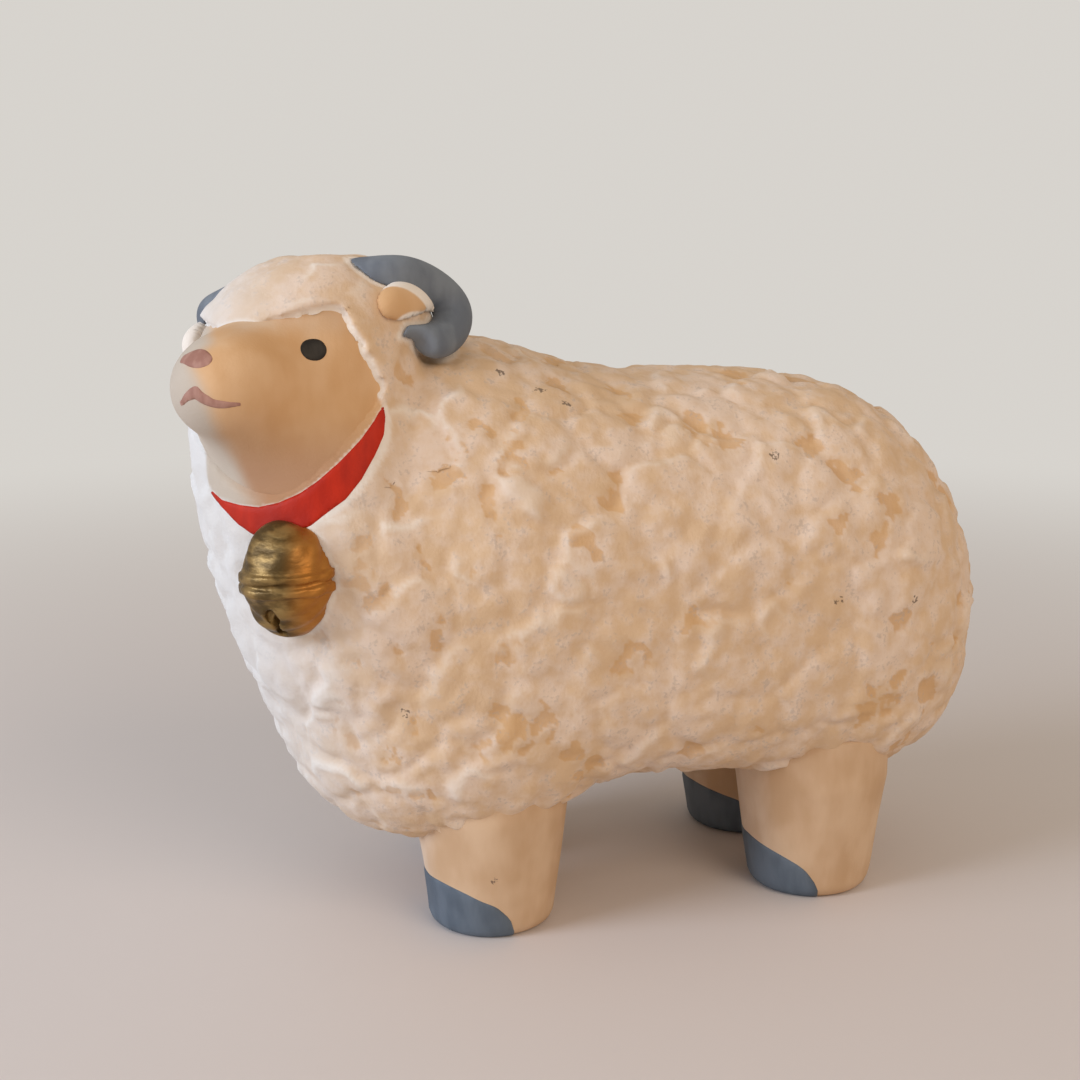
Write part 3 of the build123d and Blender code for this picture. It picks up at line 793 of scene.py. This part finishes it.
def gold_paint():
    """Bronze-powder paint gives the eye a dull metal sheen, browner where the brush left it thin, with
    painted reflections, orange on one side and grey on the other.
    """
    material, tree, shader = start_material("brushed_gold_paint_with_painted_reflections")
    spot = add(tree, "ShaderNodeTexCoord").outputs["Object"]
    drawn = add(tree, "ShaderNodeMapping", {"Vector": spot, "Scale": GOLD_STREAK_DRAW})
    streak = {"Vector": drawn, "Scale": mm_scale(GOLD_STREAK_MM), "Detail": 4.0}
    streak = add(tree, "ShaderNodeTexNoise", streak)
    flake = add(tree, "ShaderNodeTexNoise", {"Vector": spot, "Scale": mm_scale(FLAKE_MM), "Detail": 3.0})
    share = {"Value": streak, "From Min": GOLD_EDGE[0], "From Max": GOLD_EDGE[1]}
    layers = [(add(tree, "ShaderNodeMapRange", share, interpolation_type="SMOOTHSTEP"), GOLD_THICK)]
    across = add(tree, "ShaderNodeVectorMath", {0: spot, 1: RIGHTWARD}, operation="DOT_PRODUCT")
    across = across.outputs["Value"]
    # Painted reflections: orange towards one side of the bell, grey towards the other
    for (start, end), tint, most in BELL_PAINTED_REFLECTIONS:
        side = {"Value": across, "From Min": start * MM, "From Max": end * MM, "To Max": most}
        layers.append((add(tree, "ShaderNodeMapRange", side, interpolation_type="SMOOTHSTEP"), tint))
    colour = linear(GOLD_THIN)
    for share, tint in layers:
        layer = {"Factor": share, 6: colour, 7: linear(tint)}
        colour = add(tree, "ShaderNodeMix", layer, data_type="RGBA").outputs[2]
    tree.links.new(colour, shader.inputs["Base Color"])
    rough = {0: flake, 1: FLAKE_SHARE, 2: GOLD_ROUGHNESS}
    rough = add(tree, "ShaderNodeMath", rough, operation="MULTIPLY_ADD")
    tree.links.new(rough.outputs[0], shader.inputs["Roughness"])
    shader.inputs["Metallic"].default_value = GOLD_METALLIC
    brushed = {"Height": streak, "Distance": GOLD_BRUSH_MM * MM, "Strength": GOLD_BRUSH_SHARE}
    tree.links.new(add(tree, "ShaderNodeBump", brushed).outputs[0], shader.inputs["Normal"])
    return material


# Each brushed paint: name, light and dark colour, size of its streaks in millimetres, roughness

# Cream plates, white ridges, ochre chips, with painted highlights on the ridges and painted cool light on
# chest and brow
FLEECE = whitewash_on_clay()
# A warm tan face, pale at its front edge and far side with wash and painted light, and darker towards the
# chin with painted shade
FACE = painted_clay(
    "brushed_tan_paint_with_painted_shade_and_light", "#DCB58B", "#D0A475", 6.0, 0.75, PALE_WASH_AND_LIGHT,
    struck_points(FACE_MARKS_PX, ["head"]), FACE_MARK_MM, FACE_PAINTED_SHADE,
)
# Cream legs, whiter at their front edge with painted light
CREAM = painted_clay(
    "cream_slip_with_painted_light", "#D6B898", "#C7A582", 5.0, 0.78, "#E9DFD5",
    struck_points(LEG_MARKS_PX, ["leg_front_left"]), LEG_MARK_MM,
)
# Tan ears with a white rim against the horn, and painted light over the far ear
EAR_TAN = painted_clay("tan_paint_in_a_white_rim_with_painted_light", "#DEB88E", "#D2A87A", 5.0, 0.76, WASH_THICK)
# Matt grey horns with faint streaks
SLATE = painted_clay("slate_paint_on_clay", "#7B838C", "#676F7A", 2.6, 0.62)
# The horns' slate on the toes, painted darker and bluer for the cool light and shade falling on them
TOE_SLATE_PAINTED_COOL = painted_clay("slate_paint_with_painted_cool_light_and_shade", "#66727F", "#55616E", 2.6, 0.6)
# A strong red at the throat
RED = painted_clay("red_paint_on_clay", "#C02604", "#AA1C02", 2.2, 0.6)
# Eyes of a soft brownish black
BLACK = painted_clay("black_paint_on_clay", "#2B2620", "#1C1814", 1.0, 0.5)
# Nose and mouth in a dusty pinkish brown
MAUVE = painted_clay("mauve_paint_brushed_thin", "#B58C7E", "#9C7062", 1.2, 0.7)
# A dull gold bell, with a painted orange reflection on one side and a painted grey sheen on the other
GOLD = gold_paint()


def finish_piece(name, mesh, material, slot, *nodes):
    """A finished piece that rides on the figure and stands for its CAD nodes."""
    mesh.materials.clear()
    mesh.materials.append(material)
    piece = new_piece(name, mesh)
    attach(piece, "root")
    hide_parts(*nodes)
    return piece


# Skin: one continuous fleece over body and hood, then parted where the figure's pieces meet
def distance_to(name, points):
    """Distance in metres of points from a CAD node."""
    tree = node_tree(name)
    return np.array([tree.find_nearest(p)[3] for p in points.tolist()])


def smoothstep(low, high, values):
    share = np.clip((values - low) / (high - low), 0, 1)
    return share * share * (3 - 2 * share)


def faded(limits_mm, metres):
    """A share that rises from 0 to 1 between two limits."""
    return smoothstep(*limits_mm, metres / MM)


def nearest_node(gaps):
    """Index of the CAD solid that each point lies on, from its distances to all of them."""
    best = np.full(len(gaps[0]), math.inf)
    owner = np.zeros(len(best), int)
    for index, gap in enumerate(gaps):
        closer = gap < best - OWNER_BIAS_MM * MM
        owner[closer] = index
        best = np.minimum(best, gap)
    return owner


def smooth_skin():
    """An even skin over body, hood and head, with its vent plugged and the neck's ledges eased."""
    form = joined_copy(SKIN_NODES)
    radius, low, high = (value * MM for value in VENT_PLUG_MM)
    centre = Vector((VENT_PLACE_MM[0] * MM, VENT_PLACE_MM[1] * MM, (low + high) / 2))
    bmesh.ops.create_cone(
        form, cap_ends=True, segments=VENT_SIDES, radius1=radius, radius2=radius, depth=high - low,
        matrix=Matrix.Translation(centre),
    )
    smooth = remeshed("skin", form, SKIN_VOXEL_MM, SKIN_SMOOTHING)
    near = positions(smooth)
    eased = positions(eased_mesh(new_piece("eased", smooth.copy()), EASE_ROUNDS))
    away = faded(EASE_FROM_HEAD_MM, distance_to("head", near))
    move_points(smooth, near + (eased - near) * away[:, None])
    return smooth


def make_skin():
    """The skin with its relief, and for each point what it belongs to and how it is painted."""
    smooth = smooth_skin()
    rest = positions(smooth)
    ways = normals(smooth)
    gaps = [distance_to(name, rest) for name in SKIN_NODES]
    from_head = gaps[SKIN_NODES.index("head")]
    from_collar = distance_to("collar", rest)
    wool = faded(RELIEF_EDGE_MM, eased_values(smooth, from_head, RELIEF_EDGE_ROUNDS))
    wool *= COLLAR_CALM_SHARE + (1 - COLLAR_CALM_SHARE) * faded(COLLAR_CALM_MM, from_collar)
    wool *= 1 - CROWN_CALM_SHARE * faded(CROWN_CALM_MM, rest[:, 2])
    beside = np.minimum(from_head - FACE_EDGE_MM * MM, from_collar)
    for name in ("horn_left", "horn_right", "bell"):
        beside = np.minimum(beside, distance_to(name, rest))
    above_collar = outline_field(CHEEK_OUTLINE_PX, STEADY_MM, 0, "head")
    cheek = smoothstep(*CHEEK_SOFT_MM, above_collar(rest)) * (1 - faded(CHEEK_MM, from_head))
    cheek *= (ways @ np.array(LOOK) < 0) & (rest[:, 2] < CHEEK_TOP_MM * MM)
    set_attribute(smooth, "wool", wool)
    set_attribute(smooth, "cheek", cheek)
    set_attribute(smooth, "pale", face_pale(rest, ways))
    set_attribute(smooth, "margin", MARGIN_SHARE * (1 - faded(MARGIN_MM, beside)))
    cover = eased_values(smooth, from_head, EDGE_ROUNDS) / MM
    grown = with_tree(smooth, fleece_tree(FLEECE), RELIEF_INPUTS)
    set_attribute(grown, "owner", nearest_node(gaps))
    set_attribute(grown, "cover", cover)
    for axis, name in enumerate(REST_NAMES):
        set_attribute(grown, name, (rest - ways * REST_DEPTH_MM * MM)[:, axis])
    return grown


def part_skin(grown):
    """Parts the fleece into the halves of the body and the hood; the face opening has a clean edge."""
    form = bmesh.new()
    form.from_mesh(grown)
    layers = form.verts.layers.float
    cover = layers["cover"]
    cut_at_zero(form, lambda vert: FACE_EDGE_MM - vert[cover])
    core = np.array([[vert[layers[name]] for name in REST_NAMES] for vert in form.verts])
    points = np.array([vert.co for vert in form.verts])
    facing = np.array([vert.normal for vert in form.verts])
    side = np.rint([vert[layers["owner"]] for vert in form.verts]).astype(int)
    side = np.minimum(side, SKIN_NODES.index("head_fleece"))
    shown = {name: np.array([vert[layers[name]] for vert in form.verts]) for name in SHOWN_NAMES}
    faces = [tuple(vert.index for vert in face.verts) for face in form.faces]
    form.free()
    belongs = np.array([np.bincount(side[list(face)]).argmax() for face in faces])
    for index, wall in enumerate((BODY_WALL_MM, BODY_WALL_MM, HOOD_WALL_MM)):
        node = SKIN_NODES[index]
        chosen = [face for face, number in zip(faces, belongs) if number == index]
        inner = core - facing * (wall - REST_DEPTH_MM) * MM
        mesh, used = shell(node, chosen, points, inner, facing)
        for name, values in shown.items():
            set_attribute(mesh, name, np.tile(values[used], 2))
        finish_piece("fleece_" + node, mesh, FLEECE, "fleece", node)


# Head, horns, ears and bell
def pushed(mesh, by_mm):
    """Moves each point of the mesh along its normal."""
    return move_points(mesh, positions(mesh) + normals(mesh) * np.reshape(by_mm, (-1, 1)) * MM)


def filled(name, mesh, reach_mm, voxel_mm):
    """Rounds out hollows: the form swells in steps until they close, then shrinks back."""
    step = reach_mm / FILL_STEPS
    for way in [step] * FILL_STEPS + [-step] * FILL_STEPS:
        form = bmesh.new()
        form.from_mesh(pushed(mesh, way))
        mesh = remeshed(name, form, voxel_mm, FILL_SMOOTHING)
    return mesh


def face_pale(points, ways):
    """Share of pale on the face: wash and painted light over its front edge, painted light over its far side,
    and wash thinly under the cap.
    """
    across, down = pixels_of(points)[0].T
    line_across, line_down = np.array(PALE_LINE_PX, float).T
    front = smoothstep(*PALE_FADE_PX, across - np.interp(down, line_down, line_across))
    far = smoothstep(*FAR_SIDE_PAINTED_LIGHT, ways @ np.array(LOOK))
    return np.maximum(np.maximum(front, far), BROW_WASH_SHARE * smoothstep(*BROW_WASH_PX, down))


def ear_pale(points):
    """Share of pale on an ear: a white rim where it lies against its horn, and painted light over the far
    brow.
    """
    gaps = [distance_to(name, points) for name in ("horn_left", "horn_right")]
    rim = 1 - faded(EAR_RIM_MM, np.minimum(*gaps))
    across = pixels_of(points)[0][:, 0]
    return np.maximum(rim, smoothstep(*PALE_FADE_PX, across - PALE_LINE_PX[0][0]))


def leg_pale(points):
    """Share of painted light on a leg's front edge."""
    across = points @ np.array(RIGHTWARD)
    share = (across - across.min()) / np.ptp(across)
    return LEG_LIGHT_SHARE * (1 - smoothstep(0, LEG_LIGHT_REACH_SHARE, share))


# Legs: stub cones pressed by hand, a little uneven
def leg_mesh(name, sole, seed):
    heights = [*SOLE_ROWS_MM, SOLE_ROUNDING_MM, *np.linspace(LEG_ROWS_FROM_MM, LEG_TOP_MM, LEG_ROWS)]
    shifts = PRESS_TURN * np.random.default_rng(seed).uniform(-1, 1, len(LEG_PRESSES))
    rows = []
    for height in heights:
        radius = SOLE_RADIUS_MM + (ROOT_RADIUS_MM - SOLE_RADIUS_MM) * min(height / ROOT_HEIGHT_MM, 1)
        if height < SOLE_ROUNDING_MM:
            drop = 1 - height / SOLE_ROUNDING_MM
            radius -= SOLE_ROUNDING_MM * (1 - math.sqrt(max(0, 1 - drop * drop)))
        row = []
        for step in range(LEG_SIDES):
            angle = 2 * math.pi * step / LEG_SIDES
            press = 0
            for (waves, depth, twist), shift in zip(LEG_PRESSES, shifts):
                press += depth * math.sin(waves * angle + shift + height * twist)
            reach = (radius + press * min(1, height / PRESS_START_MM)) * MM
            row.append((sole[0] + reach * math.cos(angle), sole[1] + reach * math.sin(angle), height * MM))
        rows.append(row)
    points = [p for row in rows for p in row]
    faces = []
    for level in range(len(rows) - 1):
        for step in range(LEG_SIDES):
            a = level * LEG_SIDES + step
            b = level * LEG_SIDES + (step + 1) % LEG_SIDES
            faces.append((a, b, b + LEG_SIDES, a + LEG_SIDES))
    for level, turned in ((0, True), (len(rows) - 1, False)):
        rim = [level * LEG_SIDES + step for step in range(LEG_SIDES)]
        middle = np.mean([points[v] for v in rim], 0)
        points.append(tuple(middle))
        for a, b in zip(rim, rim[1:] + rim[:1]):
            faces.append((len(points) - 1, b, a) if turned else (len(points) - 1, a, b))
    return mesh_from(name, points, faces)


# Coats of paint
def cut_at_zero(form, value_of):
    """Cuts the mesh along the zero line of a value and keeps the faces where it is below zero."""
    layer = form.verts.layers.float.new("inside")
    for vert in form.verts:
        value = value_of(vert)
        vert[layer] = math.copysign(max(abs(value), CUT_LEAST_MM), value)
    crossed = {face for face in form.faces if len({vert[layer] > 0 for vert in face.verts}) > 1}
    bmesh.ops.triangulate(form, faces=list(crossed))
    crossing = [e for e in form.edges if e.verts[0][layer] * e.verts[1][layer] < 0]
    cuts = []
    for edge in crossing:
        a, b = edge.verts
        share = a[layer] / (a[layer] - b[layer])
        fresh = bmesh.utils.edge_split(edge, a, share)[1]
        fresh[layer] = 0.0
        cuts.append(fresh)
    bmesh.ops.connect_verts(form, verts=cuts)
    outside = [f for f in form.faces if max((v[layer] for v in f.verts), key=abs) > 0]
    bmesh.ops.delete(form, geom=outside, context="FACES")
    loose = [v for v in form.verts if not v.link_faces]
    bmesh.ops.delete(form, geom=loose, context="VERTS")
    form.verts.index_update()
    form.normal_update()
    return layer


def paint_film(name, carrier, field, facing=None):
    """A closed coat on the carrier mesh where field, in millimetres, is below zero."""
    form = bmesh.new()
    form.from_mesh(carrier)
    if facing is not None:
        away = [f for f in form.faces if f.normal.dot(facing) > COAT_FACING]
        bmesh.ops.delete(form, geom=away, context="FACES")
    values = field(np.array([v.co for v in form.verts]))
    far = [v for v, value in zip(form.verts, values) if value > COAT_REACH_MM]
    bmesh.ops.delete(form, geom=far, context="VERTS")
    form.verts.index_update()
    values = field(np.array([v.co for v in form.verts]))
    layer = cut_at_zero(form, lambda vert: values[vert.index])
    points = np.array([v.co for v in form.verts])
    ways = np.array([v.normal for v in form.verts])
    depth = smoothstep(0.0, COAT_EDGE_MM, np.array([-v[layer] for v in form.verts]))
    faces = [tuple(v.index for v in f.verts) for f in form.faces]
    form.free()
    outer = points + ways * (COAT_LEAST_MM + COAT_MM * depth)[:, None] * MM
    outer[:, 2] = np.maximum(outer[:, 2], 0)
    return shell(name, faces, outer, points - ways * COAT_ROOT_MM * MM)[0]


def tremor(points, depth_and_size_mm, seed):
    """A smooth unevenness of the hand at each point, in millimetres."""
    depth_mm, size_mm = depth_and_size_mm
    waves = np.sin((points / (size_mm * MM) + seed) @ np.transpose(TREMOR_WAVES) + TREMOR_STARTS)
    return depth_mm * waves.mean(axis=1)


def oval_field(surface, node, size_mm, tremor_mm, seed):
    """Distance from an oval dab on a surface where a CAD node lies."""
    low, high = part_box(node)
    centre, way = surface.find_nearest((low + high) / 2)[:2]
    across = Vector((0, 0, 1)).cross(way).normalized()
    up = way.cross(across)

    def field(points):
        offset = points - np.array(centre)
        a = offset @ np.array(across) / (size_mm[0] / 2 * MM)
        b = offset @ np.array(up) / (size_mm[1] / 2 * MM)
        straight = offset @ np.cross(across, up) / MM
        flat = (np.sqrt(a * a + b * b) - 1) * min(size_mm) / 2
        flat = np.where(np.abs(straight) > OVAL_DEPTH_MM, FAR_MM, flat)
        return flat + tremor(points, tremor_mm, seed)
    return field


def stroke_field(paths, widths_mm, tremor_mm, seed):
    """Distance from brushed lines that thin towards their ends."""
    def field(points):
        best = np.full(len(points), FAR_MM)
        for path in paths:
            legs = np.linalg.norm(np.diff(path, axis=0), axis=1)
            run = 0
            for a, b, leg in zip(path[:-1], path[1:], legs):
                share = np.clip((points - a) @ (b - a) / leg**2, 0, 1)
                gap = np.linalg.norm(points - a - share[:, None] * (b - a), axis=1) / MM
                done = (run + share * leg) / legs.sum()
                half = widths_mm[0] + (widths_mm[1] - widths_mm[0]) * done**MOUTH_THINNING
                best = np.minimum(best, gap - half)
                run += leg
        return best + tremor(points, tremor_mm, seed)
    return field


def outline_field(outline_px, tremor_mm, seed, node):
    """Signed distance from an outline in the photograph, in millimetres at the surface near a CAD node."""
    corners = np.array(outline_px, float)
    ahead = np.roll(corners, -1, axis=0)

    def field(points):
        px, depth = pixels_of(points)
        best = np.full(len(px), math.inf)
        inside = np.zeros(len(px), bool)
        for a, b in zip(corners, ahead):
            leg = b - a
            share = np.clip((px - a) @ leg / (leg @ leg), 0, 1)
            best = np.minimum(best, np.linalg.norm(px - a - share[:, None] * leg, axis=1))
            if leg[1]:
                spans = (a[1] > px[:, 1]) != (b[1] > px[:, 1])
                inside ^= spans & (px[:, 0] < a[0] + (px[:, 1] - a[1]) * leg[0] / leg[1])
        gap = best * depth / FOCAL_PX / MM
        signed = np.where(inside, -gap, gap) + tremor(points, tremor_mm, seed)
        return np.maximum(signed, distance_to(node, points) / MM - OUTLINE_REACH_MM)
    return field


def toe_field(sole, toe_turn_deg, seed):
    """Distance from the arched patch of paint on a toe."""
    toe = math.radians(toe_turn_deg - 90)

    def field(points):
        offset = points - np.array(sole)
        angle = np.arctan2(offset[:, 1], offset[:, 0]) - toe
        angle = np.degrees(np.abs((angle + math.pi) % (2 * math.pi) - math.pi))
        share = np.clip(angle / TOE_HALF_TURN_DEG, 0, TOE_REACH_SHARE)
        arch = TOE_HEIGHT_MM * np.sign(1 - share) * np.sqrt(np.abs(1 - share**TOE_ROUNDNESS))
        return (offset[:, 2] / MM - arch) * TOE_SLANT_SHARE + tremor(points, TOE_TREMOR_MM, seed)
    return field


def smoothed_line(points, rounds=2):
    """Corner cutting of an open line of points."""
    for _ in range(rounds):
        cut = [points[0]]
        for a, b in zip(points[:-1], points[1:]):
            cut += [a + (b - a) * CORNER_CUT_SHARE, b + (a - b) * CORNER_CUT_SHARE]
        points = np.array(cut + [points[-1]])
    return points


# Build
make_camera()
grown = make_skin()
part_skin(grown)

head = remeshed("face", joined_copy(["head"]), HEAD_VOXEL_MM, HEAD_SMOOTHING)
head = pushed(filled("face", head, HEAD_FILL_MM, HEAD_VOXEL_MM), HEAD_GROWTH_MM)
set_attribute(head, "pale", face_pale(positions(head), normals(head)))
finish_piece("face", head, FACE, "biscuit", "head")
for hand in ("left", "right"):
    name = "curled_horn_" + hand
    horn = remeshed(name, joined_copy(["horn_" + hand]), SMALL_VOXEL_MM, SMALL_SMOOTHING)
    finish_piece(name, horn, SLATE, "slate", "horn_" + hand)
    name = "ear_in_horn_" + hand
    ear = remeshed(name, joined_copy(["ear_" + hand]), SMALL_VOXEL_MM, SMALL_SMOOTHING)
    ear = pushed(ear, EAR_GROWTH_MM[hand])
    set_attribute(ear, "pale", ear_pale(positions(ear)))
    finish_piece(name, ear, EAR_TAN, "biscuit", "ear_" + hand)
bell = remeshed("jingle_bell", joined_copy(["bell"]), SMALL_VOXEL_MM, BELL_SMOOTHING)
bell = pushed(bell, tremor(positions(bell), BELL_TREMOR_MM, 0))
finish_piece("jingle_bell", bell, GOLD, "gold", "bell")

mounts = {mount["name"]: mount["pos_m"] for mount in frame["record"]["mounts"]}
for seed, (place, toe_turn) in enumerate(TOE_TURN_DEG.items()):
    sole = mounts["sole_" + place]
    leg = leg_mesh("leg_" + place, sole, seed)
    set_attribute(leg, "pale", leg_pale(positions(leg)))
    film = paint_film("toe", leg, toe_field(sole, toe_turn, seed * TOE_SEED_STEP))
    finish_piece("stub_leg_" + place, leg, CREAM, "biscuit", "leg_" + place)
    finish_piece("toe_paint_" + place, film, TOE_SLATE_PAINTED_COOL, "slate", "hoof_" + place)

surface = BVHTree.FromPolygons(positions(head).tolist(), face_tuples(head))
for seed, hand in enumerate(("left", "right")):
    film = paint_film("eye", head, oval_field(surface, "eye_" + hand, EYE_MM, EYE_TREMOR_MM, seed))
    finish_piece("eye_dot_" + hand, film, BLACK, "black", "eye_" + hand)
film = paint_film("nose", head, oval_field(surface, "nose", NOSE_MM, NOSE_TREMOR_MM, NOSE_SEED))
finish_piece("nose_smear", film, MAUVE, "mauve", "nose")
strokes = []
for line in (MOUTH_NEAR_PX, MOUTH_FAR_PX):
    hits = [surface.ray_cast(EYE_POINT, pixel_ray(px))[0] for px in line]
    strokes.append(smoothed_line(np.array([hit for hit in hits if hit is not None])))
film = paint_film("mouth", head, stroke_field(strokes, MOUTH_STROKE_MM, MOUTH_TREMOR_MM, MOUTH_SEED))
finish_piece("mouth_strokes", film, MAUVE, "mauve", "mouth")
collar = outline_field(COLLAR_OUTLINE_PX, COLLAR_TREMOR_MM, COLLAR_SEED, "collar")
film = paint_film("collar", grown, collar, facing=LOOK)
finish_piece("collar_paint", film, RED, "red", "collar")


# Stage and light: a pale floor that fades into a pale backdrop
FLOOR_COLOUR = "#D9D2CF"
FLOOR_ROUGHNESS = 0.7
BACKDROP_COLOUR = "#E6E2DC"
BACKDROP_LEVEL = 0.86
FLOOR_FADE_M = (0.07, 0.55)
FLOOR_HALF_M = 4.0
AROUND_COLOUR = "#F6ECE0"
AROUND_LEVEL = 0.50
# Each lamp: name, place and width in metres, power in watts, colour
LAMPS = (
    ("cool_key", (0.16, -0.76, 0.36), 0.4, 4.6, "#E4EEFF"),
    ("warm_fill", (0.75, 0.30, 0.55), 0.6, 2.5, "#FFE6CC"),
)
LAMP_AIM = (0, 0, 0.05)


def make_stage():
    corners = [(-FLOOR_HALF_M, -FLOOR_HALF_M, 0), (FLOOR_HALF_M, -FLOOR_HALF_M, 0)]
    corners += [(FLOOR_HALF_M, FLOOR_HALF_M, 0), (-FLOOR_HALF_M, FLOOR_HALF_M, 0)]
    mesh = mesh_from("floor", corners, [(0, 1, 2, 3)])
    material, tree, shader = start_material("pale_floor")
    shader.inputs["Base Color"].default_value = linear(FLOOR_COLOUR)
    shader.inputs["Roughness"].default_value = FLOOR_ROUGHNESS
    spot = add(tree, "ShaderNodeTexCoord").outputs["Object"]
    reach = add(tree, "ShaderNodeVectorMath", {0: spot}, operation="LENGTH").outputs["Value"]
    far = {"Value": reach, "From Min": FLOOR_FADE_M[0], "From Max": FLOOR_FADE_M[1]}
    far = add(tree, "ShaderNodeMapRange", far, interpolation_type="SMOOTHSTEP")
    seen = add(tree, "ShaderNodeLightPath").outputs["Is Camera Ray"]
    fade = add(tree, "ShaderNodeMath", {0: far, 1: seen}, operation="MULTIPLY")
    glow = {"Color": linear(BACKDROP_COLOUR), "Strength": BACKDROP_LEVEL}
    glow = add(tree, "ShaderNodeEmission", glow)
    mixed = add(tree, "ShaderNodeMixShader", {0: fade, 1: shader, 2: glow})
    output = next(n for n in tree.nodes if n.type == "OUTPUT_MATERIAL")
    tree.links.new(mixed.outputs[0], output.inputs["Surface"])
    mesh.materials.append(material)
    new_piece("floor", mesh)


def make_light():
    world = bpy.data.worlds.new("studio")
    bpy.context.scene.world = world
    world.use_nodes = True
    tree = world.node_tree
    tree.nodes.clear()
    seen = add(tree, "ShaderNodeLightPath").outputs["Is Camera Ray"]
    around = {"Color": linear(AROUND_COLOUR), "Strength": AROUND_LEVEL}
    around = add(tree, "ShaderNodeBackground", around)
    behind = {"Color": linear(BACKDROP_COLOUR), "Strength": BACKDROP_LEVEL}
    behind = add(tree, "ShaderNodeBackground", behind)
    mixed = add(tree, "ShaderNodeMixShader", {0: seen, 1: around, 2: behind})
    add(tree, "ShaderNodeOutputWorld", {"Surface": mixed})
    for name, place, size, power, colour in LAMPS:
        data = bpy.data.lights.new(name, "AREA")
        data.shape = "DISK"
        data.size = size
        data.energy = power
        data.color = linear(colour)[:3]
        lamp = bpy.data.objects.new(name, data)
        aim = (Vector(LAMP_AIM) - Vector(place)).to_track_quat("-Z", "Y")
        lamp.matrix_world = Matrix.Translation(place) @ aim.to_matrix().to_4x4()
        bpy.context.scene.collection.objects.link(lamp)


make_stage()
make_light()
bpy.context.scene.view_settings.view_transform = "Standard"
